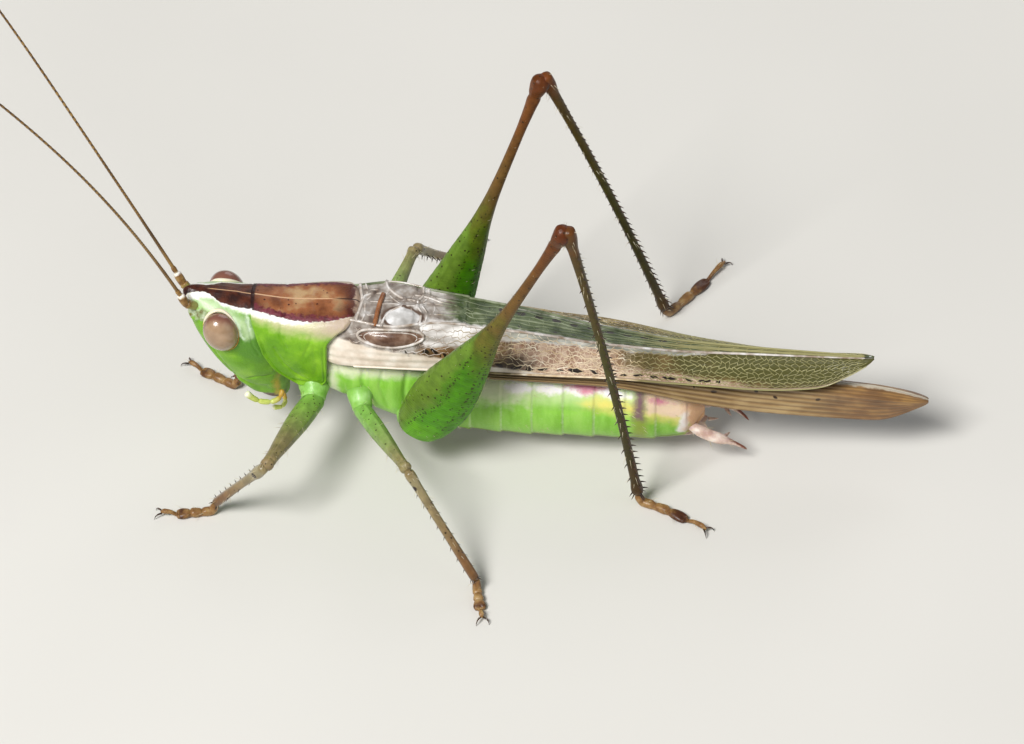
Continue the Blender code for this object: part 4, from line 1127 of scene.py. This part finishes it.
    # The left wing's fold vein takes the silvery base hues all along: a painted highlight on the fold
    piece("forewing_veins_" + name, points * side, faces, vein_horn, "forewing", fields={
        "olive": np.where(tone == SONG, 2 * (px - 2.3), (tone == BACK) - 0.5),
        "cream": ((tone == LOWER) & (px < 3)) - 0.5,
        "base": np.select((tone == FOLD, tone == SONG, tone == BACK), (1.0, 2 * (2.3 - px), -1.0),
                          2.7 - px),
        "far": px - 8.2 - 20 * (tone == FOLD), "light": 1.6 - np.abs(px - 6.0) - 5 * right})
    if left:
        lx, ly = smooth_line(((0.62, -0.36), (0.54, 0.20), (0.46, 0.98)), 60)
        teeth = 0.068 * (1 + 0.08 * np.sin(np.arange(60) * 2.1))
        points, faces = wing_line(lx, on_back(lx, ly), under, teeth, turns=12, lift=0.5)
        piece("file_vein_" + name, points * side, faces, file_horn, "forewing")
print("forewing:", COUNTS["forewing_left"], "and its veins", COUNTS["forewing_veins_left"], "triangles")

# %% [markdown]
# ## Hind wings
# Under each forewing a thin hind wing lies folded like a fan. It shows as a brown strip below the
# forewing's edge, and runs on past its tip. Its folds are sharp lengthwise pleats, so the sheet is
# a smooth strip with a zigzag laid over it, and the pleats draw together towards the tip.
# %% Hind wings
HINDWING_TIP = 16.05
HINDWING_START = 2.35
PLEATS = 9
HIND_SHEET = 0.04                            # thickness of the sheet, mm
TIP_HEIGHT = 2.28                            # of the tip's middle over the floor
HIND_ROOF = ((2.0, 4.5), (9.0, 3.44), (11.5, 2.98), (12.7, 2.90), (14.5, 2.74), (15.6, 2.56), (16.1, 2.44))
HIND_HIP = (((2.0, 0.72), (6.8, 0.70), (9.6, 0.46), (11.0, 0.36), (16.1, 0.30)),
            ((2.0, 3.50), (6.8, 3.46), (9.6, 3.14), (11.0, 2.86), (16.1, 2.38)))
HIND_EDGE = (((2.0, 1.04), (6.8, 1.06), (9.6, 0.94), (12.7, 0.50), (16.1, 0.30)),
             ((2.0, 3.36), (6.8, 3.28), (9.6, 2.62), (12.7, 1.90), (14.7, 1.76), (16.1, 2.16)))


def hindwing(x, v):
    """Point of a folded hind wing, y outwards: three lines, the roof at v 0, the hip at 0.4 and the
    lower edge at 1, joined by straight slopes, the first a little arched. The tip is an ellipse
    about its own middle."""
    roof = np.minimum(curve(x, WING_ROOF) - 0.42, curve(x, HIND_ROOF))
    edge_y, edge_z = (curve(x, knots) for knots in HIND_EDGE)
    hip_y, hip_z = (curve(x, knots) for knots in HIND_HIP)
    hip_z = np.minimum(roof - 0.02, hip_z)
    tip = np.sqrt(np.clip(1 - np.maximum((x - 14.4) / 1.66, 0) ** 2, 0, 1))
    y = np.where(v < 0.4, 0.02 + (hip_y - 0.02) * v / 0.4, hip_y + (edge_y - hip_y) * (v - 0.4) / 0.6)
    z = np.where(v < 0.4, roof + (hip_z - roof) * v / 0.4 + 0.03 * np.sin(math.pi * v / 0.4),
                 hip_z + (edge_z - hip_z) * (v - 0.4) / 0.6)
    return np.stack([x + 0 * v, 0.02 + (y - 0.02) * (0.1 + 0.9 * tip),
                     TIP_HEIGHT + (z - TIP_HEIGHT) * (0.04 + 0.96 * tip)], -1)


def pleat_paint(tree, place):
    """Smoky brown, with painted highlight on the crests of the pleats and painted shade in the valleys,
    a few dark flecks, rusty towards the tip, where its upper edge shines."""
    long = add(tree, "Mapping", {"Vector": place, "Scale": (0.3, 1.0, 1.0)})
    return layers(tree, place, mottled(tree, long, "#6a5234", "#8c7048", 0.35, "#b0966a"),
                  (mottled(tree, long, "#54361c", "#74502c", 0.3, "#96703e"), "rusty", 1.2, 0.4, 0.5),
                  # painted highlight on the pleats' crests and painted shade in their valleys
                  ("#a48a5e", "crest", 0.6),
                  ("#6a5236", "valley", 0.5),
                  ("#332416", "fleck", 0.3),
                  ("#b9ae9a", "glint", 0.04, 0.03, 0.2))


pleated = finish("folded smoky hind wing", pleat_paint, {**GLOSSY, "Coat Weight": 0.6}, crinkle, 0.006)
u = stations(HINDWING_TIP - HINDWING_START, 0.5, 300, 10)[:, None] + HINDWING_START
v = np.linspace(0, 1, 109)[None]
fold = 1 - 2 * np.abs((v * PLEATS) % 1 - 0.5)     # zigzag: 0 in the valleys, 1 on the crests
depth = 0.028 * (1 - 0.75 * ease(u, 9, 16)) * (1 - ease(u, 15.6, HINDWING_TIP))
bent = (u + 0.2 * np.sin(3.3 * u)) / 0.85         # counts the dark flecks along the wing
flecks = inside(bent - np.round(bent), v - 0.58 - 0.08 * np.sin(2.7 * u), 0.10, 0.035)
for name, way in SIDES:
    sheet = hindwing(u, v)
    out = facing(sheet, wrap=False)
    outer = sheet + ((fold - 1) * depth)[..., None] * out
    inner = outer - HIND_SHEET * out
    side = np.array((1, way, 1))
    plate("hind_wing_" + name, outer * side, inner * side, pleated, "hindwing", ("hindwing_" + name,),
          # painted highlight on the crests, fading towards the tip, and painted shade in the valleys
          crest=fold - 0.75 - 0.4 * ease(u, 12, 14), valley=0.2 - fold + 0 * u, rusty=u - 13.2 + 0 * v,
          fleck=np.where((u > 9.4) & (u < 13.4), flecks, -1), glint=np.minimum(0.05 - v, 0.04 * (u - 12.6)))
print("hind wing:", COUNTS["hind_wing_left"], "triangles")

# %% [markdown]
# ## Legs
# Each leg has a hip, a small ring joint, a thigh, a shin and a foot of four joints with two claws.
# The hind thigh is a club, flat from side to side, with the jumping muscle in its thick end. The
# knee is a bare glossy joint between two cheeks of the thigh. All are rings carried along straight
# or gently bent paths, with the half heights and half widths as curves.
# %% Joints of the legs
# Where the thigh starts, the knee, the ankle, then the foot's bend and toe (x, y), mm
LEGS = {
    "fore_left": ((-1.20, -1.15, 2.35), (-2.31, -4.55, 2.92), (-3.88, -3.62, 0.40),
                  (-4.60, -3.84), (-5.40, -3.82)),
    "fore_right": ((-1.25, 1.15, 2.35), (-2.84, 4.00, 1.35), (-3.74, 1.34, 0.40),
                   (-4.50, 1.72), (-5.22, 2.20)),
    "mid_left": ((0.07, -1.40, 2.30), (1.66, -4.58, 3.13), (3.70, -6.10, 0.40),
                 (3.80, -6.60), (3.93, -7.25)),
    "mid_right": ((0.07, 1.40, 2.20), (1.12, 4.95, 2.50), (2.45, 6.70, 0.40),
                  (2.60, 7.20), (2.80, 7.85)),
    "hind_left": ((1.62, -1.52, 1.52), (5.92, -3.20, 11.30), (8.00, -2.41, 0.40),
                  (8.95, -2.68), (9.98, -3.42)),
    "hind_right": ((1.42, 1.52, 1.40), (4.88, 3.10, 11.05), (8.35, 5.08, 0.40),
                   (9.12, 6.02), (9.98, 7.42))}
# Half height and half width of the thigh, from the body at 0 to the knee at 1
THIGH = {
    "hind": (((0, 0.50), (0.06, 0.78), (0.17, 0.90), (0.36, 0.59), (0.51, 0.27), (0.60, 0.18), (0.70, 0.145),
              (0.80, 0.135), (0.88, 0.16), (0.94, 0.215), (0.98, 0.26), (1, 0.21)),
             ((0, 0.30), (0.06, 0.40), (0.17, 0.46), (0.36, 0.32), (0.51, 0.20), (0.60, 0.15), (0.70, 0.13),
              (0.80, 0.125), (0.88, 0.145), (0.94, 0.19), (0.98, 0.23), (1, 0.18))),
    "mid": (((0, 0.25), (0.25, 0.28), (0.6, 0.22), (0.9, 0.16), (0.97, 0.18), (1, 0.15)),
            ((0, 0.25), (0.25, 0.26), (0.6, 0.21), (0.9, 0.15), (0.97, 0.17), (1, 0.15))),
    "fore": (((0, 0.33), (0.25, 0.37), (0.6, 0.28), (0.9, 0.19), (0.97, 0.195), (1, 0.165)),
             ((0, 0.31), (0.25, 0.33), (0.6, 0.26), (0.9, 0.18), (0.97, 0.185), (1, 0.16)))}
# Radius of the shin, from the knee at 0 to the ankle at 1
SHIN = {
    "hind": ((0, 0.20), (0.03, 0.21), (0.08, 0.145), (0.25, 0.118), (0.6, 0.115), (0.94, 0.13), (0.98, 0.17),
             (1, 0.14)),
    "mid": ((0, 0.15), (0.06, 0.17), (0.14, 0.145), (0.5, 0.13), (0.94, 0.145), (1, 0.13)),
    "fore": ((0, 0.15), (0.06, 0.17), (0.14, 0.19), (0.24, 0.15), (0.5, 0.13), (0.94, 0.14), (1, 0.13))}
# Half width and half height of the foot along its three pads and the thin claw joint
FOOT_WIDE = ((0, 0.10), (0.05, 0.12), (0.20, 0.135), (0.275, 0.105), (0.33, 0.13), (0.42, 0.145),
             (0.475, 0.105), (0.53, 0.15), (0.62, 0.18), (0.70, 0.15), (0.735, 0.055),
             (0.80, 0.055), (0.93, 0.075), (1, 0.03))
FOOT_HIGH = ((0, 0.10), (0.05, 0.12), (0.20, 0.125), (0.275, 0.10), (0.33, 0.12), (0.42, 0.125),
             (0.475, 0.09), (0.53, 0.11), (0.62, 0.10), (0.70, 0.08), (0.735, 0.050),
             (0.80, 0.055), (0.93, 0.070), (1, 0.03))
HOSTS = []                                   # skins that carry hairs: grid and weight


def limb_paint(stops, gap=0.18):
    """Colour along a limb from its root at 0 to its end at 1, with dark dots about a gap apart, rows
    of finer ones, and a black spot where the spot field says."""
    def dots(tree, place, size, low, high, name):
        spots = remap(tree, cells(tree, place, size, 0.8), low, high)
        return sums(tree, "MINIMUM", spots, field_of(tree, name))

    def paint(tree, place):
        push = remap(tree, grain(tree, place, 0.8), 0.3, 0.7, -0.05, 0.05)
        share = sums(tree, "ADD", field_of(tree, "share"), push)
        colour = layers(tree, place, add(tree, "ValToRGB", {"Fac": share}, stops=stops),
                        ("#66842a", "dull", 0.05, 0.02, 0.3), ("#a4c24c", "flange", 0.012))
        shade = mottled(tree, place, "#d6d6d6", "#ffffff", 0.25)
        colour = add(tree, "Mix", {"Factor": 1.0, "A": colour, "B": shade}, data_type="RGBA",
                     blend_type="MULTIPLY")
        return layers(tree, place, colour, ("#1c0f06", "spot", 0.015),
                      ("#2a1c08", dots(tree, place, gap, 0.10, 0.22, "dotted"), 0.8),
                      ("#2c3208", dots(tree, place, 0.085, 0.30, 0.44, "rows"), 0.8))
    return paint


def hatch(tree, place):
    """Fine cross ridges, 0.09 mm apart, over the pores. The wave node has 20 / tau bands a unit."""
    surface = add(tree, "UVMap", uv_map="Surface")
    waves = add(tree, "TexWave", {"Vector": surface, "Scale": TAU / (20 * 0.09), "Distortion": 2.0},
                out="Fac")
    return sums(tree, "ADD", waves, pores(tree, place))


SOFT = {**WAXY, "Subsurface Weight": 0.35}
GLEAM = {**WAXY, "Coat Weight": 0.5, "Roughness": 0.34}
thigh_cuticle = {
    "hind": finish("green to brown cuticle of the hind thighs", limb_paint(
        ((0, "#64a806"), (1, "#5c2c10"), (0.12, "#509606"), (0.34, "#478206"), (0.47, "#5e6c18"),
         (0.58, "#6c5426"), (0.85, "#6e4016"))),
        {**WAXY, "Specular IOR Level": 0.18, "Coat Weight": 0.06}, hatch, 0.0025),
    "mid": finish("green to tan cuticle of the middle thighs", limb_paint(
        ((0, "#86bc54"), (1, "#94825c"), (0.4, "#84ac54"), (0.7, "#8e985c")), 0.16), SOFT, pores, 0.006),
    "fore": finish("green to tan cuticle of the fore thighs", limb_paint(
        ((0, "#84be50"), (1, "#94805a"), (0.25, "#86ac4c"), (0.6, "#8a8456")), 0.14), SOFT, pores, 0.006)}
shin_cuticle = {
    "hind": finish("olive brown cuticle of the hind shins", limb_paint(
        ((0, "#6e3814"), (1, "#4c3014"), (0.1, "#503c14"), (0.5, "#444014"), (0.85, "#3c340e"))),
        {**WAXY, "Specular IOR Level": 0.2, "Coat Weight": 0.08}, pores, 0.005),
    "mid": finish("tan cuticle of the front shins", limb_paint(
        ((0, "#8a7850"), (1, "#6c4c2a"), (0.1, "#9a8e68"), (0.5, "#8c7650"), (0.8, "#7c5834"))),
        GLEAM, pores, 0.005)}
shin_cuticle["fore"] = shin_cuticle["mid"]
hip_cuticle = finish("soft green cuticle of the hips", paint_of(("#78ac44", "#8abc58", 0.4, "#a0cc78")),
                     SOFT, pores, 0.006)
foot_cuticle = finish("tan and dark cuticle of the feet", paint_of(
    ("#6e4c2a", "#8a663c", 0.25, "#a4865a"), ("#4a2a18", "dark", 0.2, 0.1, 0.1)), WAXY, pores, 0.005)
spine_horn = finish("dark horn of the spines and claws", paint_of(("#1d0f08", "#43260f", 0.2)),
                    {"Roughness": 0.3, "Coat Weight": 0.5})


def spikes(roots, ways, lengths, radius, lean, sides=5):
    """Curved spines: a tube along root + t way + t squared lean, whose radius falls to a point."""
    t = np.array((-0.15, 0.0, 0.4, 0.75, 1.0))[None, :, None]
    lengths = np.broadcast_to(lengths, len(roots))[:, None, None]
    ways = np.broadcast_to(unit(ways), roots.shape)[:, None]
    path = roots[:, None] + lengths * (t * ways + 0.25 * t ** 2 * lean)
    size = np.broadcast_to(radius, len(roots))[:, None] * np.array((1.1, 1.0, 0.7, 0.38, 0.04))
    return tubes(rings(path, size, turns=sides, upright=unit(lean + 0.3)))


def bow(t, start, bend, end):
    """Curve from start to end that leans towards bend: (1-t)² start + 2t(1-t) bend + t² end."""
    t = t[:, None]
    return (1 - t) ** 2 * start + 2 * t * (1 - t) * bend + t ** 2 * end


longest = float(np.linalg.norm(np.subtract(*LEGS["hind_left"][:2])))
print(len(LEGS), "legs, longest thigh", round(longest, 2), "mm")

# %% [markdown]
# ### Building one leg
# The same steps make every leg. The knee lies in the plane of the leg, which gives each ring its
# upright way. Spines stand in rows along the shin, slanting towards the foot, and grow longer
# towards the ankle, where two pairs of spurs end the shin.
# %% Build the legs
UP = np.array((0, 0, 1.0))
# Rows of spines: first and last place along the shin, how many, their way as shares of the shin's
# back and of the side, their length at the knee and how much it grows per length of shin, radius
SPINES = {"hind": [(0.10, 0.985, 38, 0.8, spread, 0.06, 0.16, 0.028) for spread in (-0.7, 0.7)]
          + [(0.22, 0.985, 15, -0.8, spread, 0.08, 0.08, 0.024) for spread in (-0.7, 0.7)],
          "mid": [(0.20, 0.97, 9, -0.8, spread, 0.20, 0, 0.024) for spread in (-0.6, 0.6)]
          + [(0.30, 0.97, 4, 0.8, 0.5, 0.12, 0, 0.020)]}
SPINES["fore"] = SPINES["mid"]
for name, (base, knee, ankle, foot_bend, toe) in LEGS.items():
    kind = name.split("_")[0]
    hind = kind == "hind"
    base, knee, ankle = (np.array(point) for point in (base, knee, ankle))
    way = np.sign(base[1])
    plane = unit(np.cross(knee - base, ankle - knee))

    # Thigh
    knee = knee + (0.12 if hind else 0.0) * unit(knee - base)
    length = np.linalg.norm(knee - base)
    s = stations(length, 0.18, 230 if hind else 110)
    share = s / length
    high, wide = (curve(share, knots) * blunt(s, length, 0.18) for knots in THIGH[kind])
    upright = unit(np.cross(plane, knee - base))
    turns = 72 if hind else 48
    path = base + share[:, None] * (knee - base) + (
        0.10 if hind else 0.06) * np.sin(math.pi * share)[:, None] * upright
    thigh = rings(path, high, wide, turns, upright, 2.15)
    out = facing(thigh)
    angle = np.arange(turns) / turns
    column = share[:, None]                  # the same share as a column beside the angles
    keel = 0.030 * sum(bump(np.abs((angle - at + 0.5) % 1 - 0.5), 0.022) for at in (0.07, 0.43, 0.57, 0.93))
    flank = np.abs(np.sin(TAU * angle))      # one on the leg's flat sides, nothing on its edges
    ribs = 0.003 * np.sin(TAU * s[:, None] / 0.30 + 6 * flank) * bump(column - 0.22, 0.2)
    cheek = 0.05 * bump(column - 0.965, 0.018) * flank ** 2
    swell = (keel * ease(column, 0.03, 0.15) * (high / high.max())[:, None]
             + (ribs + cheek if hind else 0.3 * cheek) - 0.03 * bump(column - 0.93, 0.008))
    thigh = thigh + swell[..., None] * out
    turned = np.abs(angle - 0.5)[None]       # turns away from the front edge
    ledge = curve(column, ((0, 0.14), (0.12, 0.195), (0.2, 0.235), (0.36, 0.205), (0.5, 0.19), (1, 0.19)))
    lines = sum(bump(turned - line, 0.011) for line in (ledge, 0.32 + 0.1 * ledge, 0.385, 0.435))
    rows = 2.4 * lines * ease(column, 0.03, 0.08) * ease(-column, -0.66, -0.5) - 1
    skin("thigh_" + name, thigh, thigh_cuticle[kind], "limb_green", ("femur_" + name,), share=column,
         dotted=ease(column, 0.04, 0.12) * 2 - 1, spot=-1.0, rows=rows if hind else -1.0,
         dull=ledge - 0.02 - turned - 0.3 * ease(column, 0.40, 0.56) - (not hind),
         flange=turned - 0.462 - 0.2 * ease(column, 0.30, 0.45) - (not hind))
    HOSTS.append((thigh, 0.5 if hind else 1.6))

    # Hip and ring joint
    root = np.array((base[0] - 0.12, way * 0.55, base[2] + 0.42))
    bend = np.array((base[0] - 0.04, way * (abs(base[1]) - 0.22), base[2] + 0.22))
    t = np.linspace(0, 1, 40)
    path = bow(t, root, bend, base + 0.24 * (knee - base) / length)
    thick = curve(t, ((0, 1.0), (0.45, 0.98), (0.72, 0.82), (0.78, 0.78), (0.88, 0.76), (1, 0.66)))
    round_end = np.sqrt(1 - ease(t, 0.86, 1.0) ** 2 * 0.9)
    radius = {"hind": 0.52, "mid": 0.38, "fore": 0.46}[kind] * thick * round_end
    hip = rings(path, radius, radius * 0.92, 44, (1, 0, 0.2))
    skin("hip_" + name, hip, hip_cuticle, "limb_green", ("coxa_" + name,))
    HOSTS.append((hip, 0.8))

    # Shin
    length = np.linalg.norm(ankle - knee)
    s = stations(length, 0.12, 200 if hind else 110)
    share = s / length
    down = (ankle - knee) / length
    back = -unit(np.cross(plane, down))
    radius = curve(share, SHIN[kind]) * blunt(s, length, 0.12)
    path = knee + s[:, None] * down + (0.10 if hind else -0.05) * (np.sin(math.pi * share)[:, None] * back)
    shin = rings(path, radius, radius * 0.92, 36, back, 2.5)
    ear = knee + 0.15 * length * down + 0.16 * unit(np.array((-0.5, 0.7 * way, 0.05)))
    spot = 0.085 - np.linalg.norm(shin - ear, axis=-1)
    skin("shin_" + name, shin, shin_cuticle[kind], "shin", ("tibia_" + name,), share=share[:, None],
         dotted=-1.0 if hind else 1.0, spot=-1.0 if hind else spot, rows=-1.0, dull=-1.0, flange=-1.0)
    HOSTS.append((shin, 1.8))

    # Spines of the shin, and two pairs of spurs at its end
    parts = []
    for first, last, many, behind, beside, tall, more, thick in SPINES[kind]:
        at = np.linspace(first, last, many)
        side_way = unit(back * behind + plane * beside)
        middle = np.stack([np.interp(at, share, path[:, k]) for k in range(3)], 1)
        stand = np.interp(at, share, radius)[:, None] * 0.9
        parts.append(spikes(middle + stand * side_way, side_way + 0.55 * down, tall + more * at, thick,
                            down))
    spurs = unit(np.stack([0.7 * up_way * back + 0.7 * side_way * plane + 0.9 * down
                           for up_way in (-1, 1) for side_way in (-1, 1)]))
    spur_root = ankle - 0.10 * down + 0.10 * (spurs - down * (spurs @ down)[:, None])
    parts.append(spikes(spur_root, spurs, 0.24 if hind else 0.16, 0.030, down * 0.5))
    points, faces = joined(parts)
    points[:, 2] = np.maximum(points[:, 2], 0.012)
    piece("spines_" + name, points, faces, spine_horn, "shin")

    # Foot: three padded joints and the claw joint
    bend, toe = (np.array((*point, 0.15)) for point in (foot_bend, toe))
    t = np.linspace(0, 1, 150)
    start = np.array((*ankle[:2], 0.24)) - 0.06 * unit(np.array((*(bend - ankle)[:2], 0)))
    foot = bow(t, start, bend, toe)
    wide, high = curve(t, FOOT_WIDE), curve(t, FOOT_HIGH)
    foot[:, 2] = high * 0.96 + 0.24 * (1 - ease(t, 0.0, 0.11)) + 0.12 * ease(t, 0.68, 0.85)
    grid = rings(foot, high, wide, 32, UP, 2.3)
    cleft = bump(t - 0.69, 0.05)[:, None] * bump(np.sin(full_turn(32)), 0.45)
    grid = grid - (0.06 * cleft)[..., None] * facing(grid)
    grid[..., 2] = np.maximum(grid[..., 2], 0.0)
    skin("foot_" + name, grid, foot_cuticle, "foot", ("tarsus_" + name,),
         dark=((0.12 if hind else 0.04) - np.abs(t - 0.64))[:, None] * 3)
    HOSTS.append((grid, 1.5))

    # Two curved claws
    ahead = unit(toe - bend)
    q = np.linspace(0, 1, 12)[None, :, None]
    spread = np.array((-1, 1))[:, None, None] * np.cross(ahead, UP)
    claw = (foot[-4] - 0.03 * UP + 0.04 * spread + ahead * 0.20 * np.sin(q * 1.5)
            + spread * 0.14 * np.sin(q * 1.7) - UP * (0.16 * q ** 2.2) + UP * 0.04 * np.sin(q * 3))
    thick = 0.030 * (1 - 0.92 * q[..., 0] ** 1.3) * np.ones((2, 1))
    points, faces = tubes(rings(claw, thick, turns=8, upright=(0.1, 0.1, 1)))
    points[:, 2] = np.maximum(points[:, 2], 0.006)
    piece("claws_" + name, points, faces, spine_horn, "foot")
print("hind thigh:", COUNTS["thigh_hind_left"], "and its spines", COUNTS["spines_hind_left"], "triangles")

# %% [markdown]
# ## Tail
# A male has two stout claspers, the cerci, each with an inner tooth. Between them the last belly
# ring ends above in a small flap and below in a notched plate with two short pegs.
# %% Tail claspers and plates
# Pinkish tan flesh with a brown tip
tail_flesh = finish("pinkish cuticle of the claspers", paint_of(
    ("#bb9a8c", "#d6beb0", 0.25, "#e6d8cc"), ("#7c4634", "tip", 0.10, 0.04, 0.1)), WAXY, pores, 0.005)
CLASPER = ((9.36, 0.55, 1.38), (9.72, 0.68, 1.24), (10.05, 0.72, 1.12), (10.40, 0.70, 0.98),
           (10.68, 0.66, 0.82), (10.90, 0.61, 0.64), (10.99, 0.58, 0.54))
t = np.linspace(0, 1, 90)
radius = curve(t, ((0, 0.14), (0.18, 0.18), (0.36, 0.178), (0.45, 0.15), (0.54, 0.10), (0.65, 0.065),
                   (0.8, 0.045), (0.95, 0.02), (1, 0.006)))
path = through(t, np.linspace(0, 1, len(CLASPER)), CLASPER)
for name, way in SIDES:
    grid = rings(path * (1, way, 1), radius, radius * 0.85, 30, (0, 1, 0.1))
    upper = (grid[..., 2] - path[:, None, 2]) / radius[:, None]
    skin("clasper_" + name, grid, tail_flesh, "pale_flesh", ("cercus_" + name,),
         tip=np.maximum(t[:, None] - 0.80 + 0.36 * upper, t[:, None] - 0.78))
    HOSTS.append((grid, 2.0))
    for part, root, aim, thick, lean, tip in (
            ("clasper_tooth_", (10.35, way * 0.56, 1.0), (0.35, -way * 1.0, -0.25), 0.07, (1.0, 0, 0), 0.0),
            ("tail_peg_", (9.88, way * 0.24, 0.86), (1.0, way * 0.15, -0.05), 0.06, (0, 0, 0.3), -1.0)):
        points, faces = spikes(np.array((root,)), np.array((aim,)), 0.26, thick, np.array(lean), 8)
        piece(part + name, points, faces, tail_flesh, "pale_flesh",
              fields={"tip": np.full(len(points), tip)})
t = np.linspace(0, 1, 60)
path = np.stack([9.2 + 0.75 * t, 0 * t, 2.05 - 0.35 * t ** 1.5], 1)
most = np.clip(t, 0, 0.999)
flap = rings(path, 0.10 * np.sqrt(1 - most ** 2), 0.34 * np.sqrt(1 - most ** 3), 28)
skin("tail_flap", flap, tail_flesh, "pale_flesh", tip=-1.0)
path = np.stack([8.9 + 1.0 * t, 0 * t, 0.86 + 0.10 * t], 1)
under_plate = rings(path, 0.16 * np.sqrt(1 - 0.95 * t ** 3), 0.46 * np.sqrt(1 - 0.9 * t ** 3), 36)
under_plate[..., 0] -= 0.22 * bump(under_plate[..., 1], 0.14) * ease(t, 0.6, 1.0)[:, None]      # its notch
skin("tail_under_plate", under_plate, tail_flesh, "body_shell", tip=-1.0)
print("clasper:", COUNTS["clasper_left"], "triangles")

# %% [markdown]
# ## Hairs
# Fine pale hairs stand on the legs, the claspers and the trunk. Each is a three-sided needle, bent
# a little towards the far end of its skin, and all are joined into one mesh. Particle hair would
# be lost on export, so these are real faces. Each hair has a small patch in a UV map, at its
# root's place in the square that belongs to its skin.
# %% Hairs
hair_horn = finish("fine pale hair", paint_of(("#b8a880", "#e6dcc0", 0.5)), {"Roughness": 0.4})
HOSTS.append((trunk, 0.35))
draw = np.random.default_rng(7)
LENGTH = 0.17                                # of a hair, mm
ROOT_RADIUS = 0.0065                         # of a hair, mm
DENSITY = 5.0                                # hairs for each square millimetre of skin of weight 1
ATLAS = 6                                    # the UV map has a square for each skin, six to a row
TAPER = np.array((1.0, 0.6, 0.1))            # how a hair's three rings shrink in the UV map
groups = []
for number, (grid, weight) in enumerate(HOSTS):
    out = facing(grid)
    edge_a, edge_b = np.gradient(grid, axis=0), np.roll(grid, -1, 1) - grid
    area = np.linalg.norm(np.cross(edge_a, edge_b), axis=-1).ravel()
    many = int(area.sum() * weight * DENSITY)
    at = draw.choice(len(area), many, p=area / area.sum())
    r, c = np.divmod(at, grid.shape[1])
    roots = grid[r, c] + draw.uniform(0, 1, (many, 1)) * edge_b[r, c]
    lie = unit(edge_a[r, c] + 1e-9)
    ways = unit(out[r, c] + 0.7 * lie + draw.normal(0, 0.15, (many, 3)))
    tall = LENGTH * draw.uniform(0.6, 1.3, many) * (0.7 if weight < 0.6 else 1.0)
    t = np.array((-0.1, 0.5, 1.0))[None, :, None]
    path = roots[:, None] + tall[:, None, None] * (t * ways[:, None] + 0.3 * t ** 2 * lie[:, None])
    size = ROOT_RADIUS * np.array((1.0, 0.7, 0.1)) * np.ones((many, 1))
    points, faces = tubes(rings(path, size, turns=3, upright=(0.31, 0.52, 0.8)))
    spot = (np.stack([r / grid.shape[0], c / grid.shape[1]], 1) + (number % ATLAS, number // ATLAS)) / ATLAS
    ring_uv = 0.0015 * np.stack([np.cos(full_turn(3)), np.sin(full_turn(3))], 1)
    patch = spot[:, None, None] + TAPER[None, :, None, None] * ring_uv[None, None]
    groups.append((points, faces, patch.reshape(-1, 2)))
points, faces = joined([group[:2] for group in groups])
patch = np.concatenate([group[2] for group in groups])
points[:, 2] = np.maximum(points[:, 2], 0.002)
piece("fine_hairs", points, faces, hair_horn, "limb_green", corner_uv=[patch[face] for face in faces],
      uv_name="OFBake")
print("hairs:", COUNTS["fine_hairs"], "triangles")

# %% [markdown]
# ## Floor, light and camera
# The floor is a plain pale sheet, as under a museum model. A soft lamp from the upper left, near
# the camera, gives the sheen on the wings, a larger one fills the shadows, a third from behind
# draws the edges, and the pale sky does the rest. The camera looks from the insect's left, a
# little behind, and halfway down.
# %% Stage
# Warm off-white, a touch uneven as matt card is
card = finish("matt pale card", paint_of(("#cfccc5", "#d6d3cc", 30)), {"Roughness": 0.85})
REACH = 3000.0                               # half width of the floor, mm
corners = np.array(((-REACH, -REACH, 0), (REACH, -REACH, 0), (REACH, REACH, 0), (-REACH, REACH, 0)))
mesh = bpy.data.meshes.new("floor")
mesh.from_pydata([tuple(corner * MM) for corner in corners], [], [(0, 1, 2, 3)])
mesh.materials.append(card)
floor = bpy.data.objects.new("floor", mesh)
bpy.context.scene.collection.objects.link(floor)

scene = bpy.context.scene
scene.view_settings.view_transform = "Standard"
world = bpy.data.worlds.new("pale sky")
world.use_nodes = True
sky = world.node_tree.nodes["Background"].inputs
sky["Color"].default_value, sky["Strength"].default_value = linear("#eef3fa"), 0.21
scene.world = world

AIM = (np.array((4.1615, 1.4413, 1.1475)) + ZERO) * MM       # the point in the middle of the view
TURN, RISE, DISTANCE = math.radians(4), math.radians(45), 0.200
back = np.array((math.sin(TURN) * math.cos(RISE), -math.cos(TURN) * math.cos(RISE), math.sin(RISE)))


def look(thing, place, target):
    """Put a lamp or the camera at a place, turned so that it looks at a target with its top up."""
    back = unit(np.array(place) - target)
    right = unit(np.cross((0, 0, 1), back))
    turned = np.eye(4)
    turned[:3] = np.stack([right, np.cross(back, right), back, place], 1)
    thing.matrix_world = Matrix(turned)
    bpy.context.scene.collection.objects.link(thing)


# Each lamp: its way from the aim, distance and size in metres, and watts
for name, way, far, size, power in (("key", (-0.45, -0.62, 0.95), 0.42, 0.14, 2.2),
                                    ("fill", (0.85, -0.35, 0.55), 0.55, 0.40, 0.28),
                                    ("rim", (0.25, 0.9, 0.6), 0.5, 0.3, 0.40)):
    lamp = bpy.data.lights.new(name, "AREA")
    lamp.size, lamp.energy = size, power
    look(bpy.data.objects.new(name, lamp), AIM + unit(np.array(way)) * far, AIM)
camera = bpy.data.cameras.new("camera")
camera.lens, camera.sensor_width, camera.clip_start = 246.09, 36, 0.01
eye_point = bpy.data.objects.new("camera", camera)
look(eye_point, AIM + back * DISTANCE, AIM)
scene.camera = eye_point
print("all pieces:", sum(COUNTS.values()), "triangles")
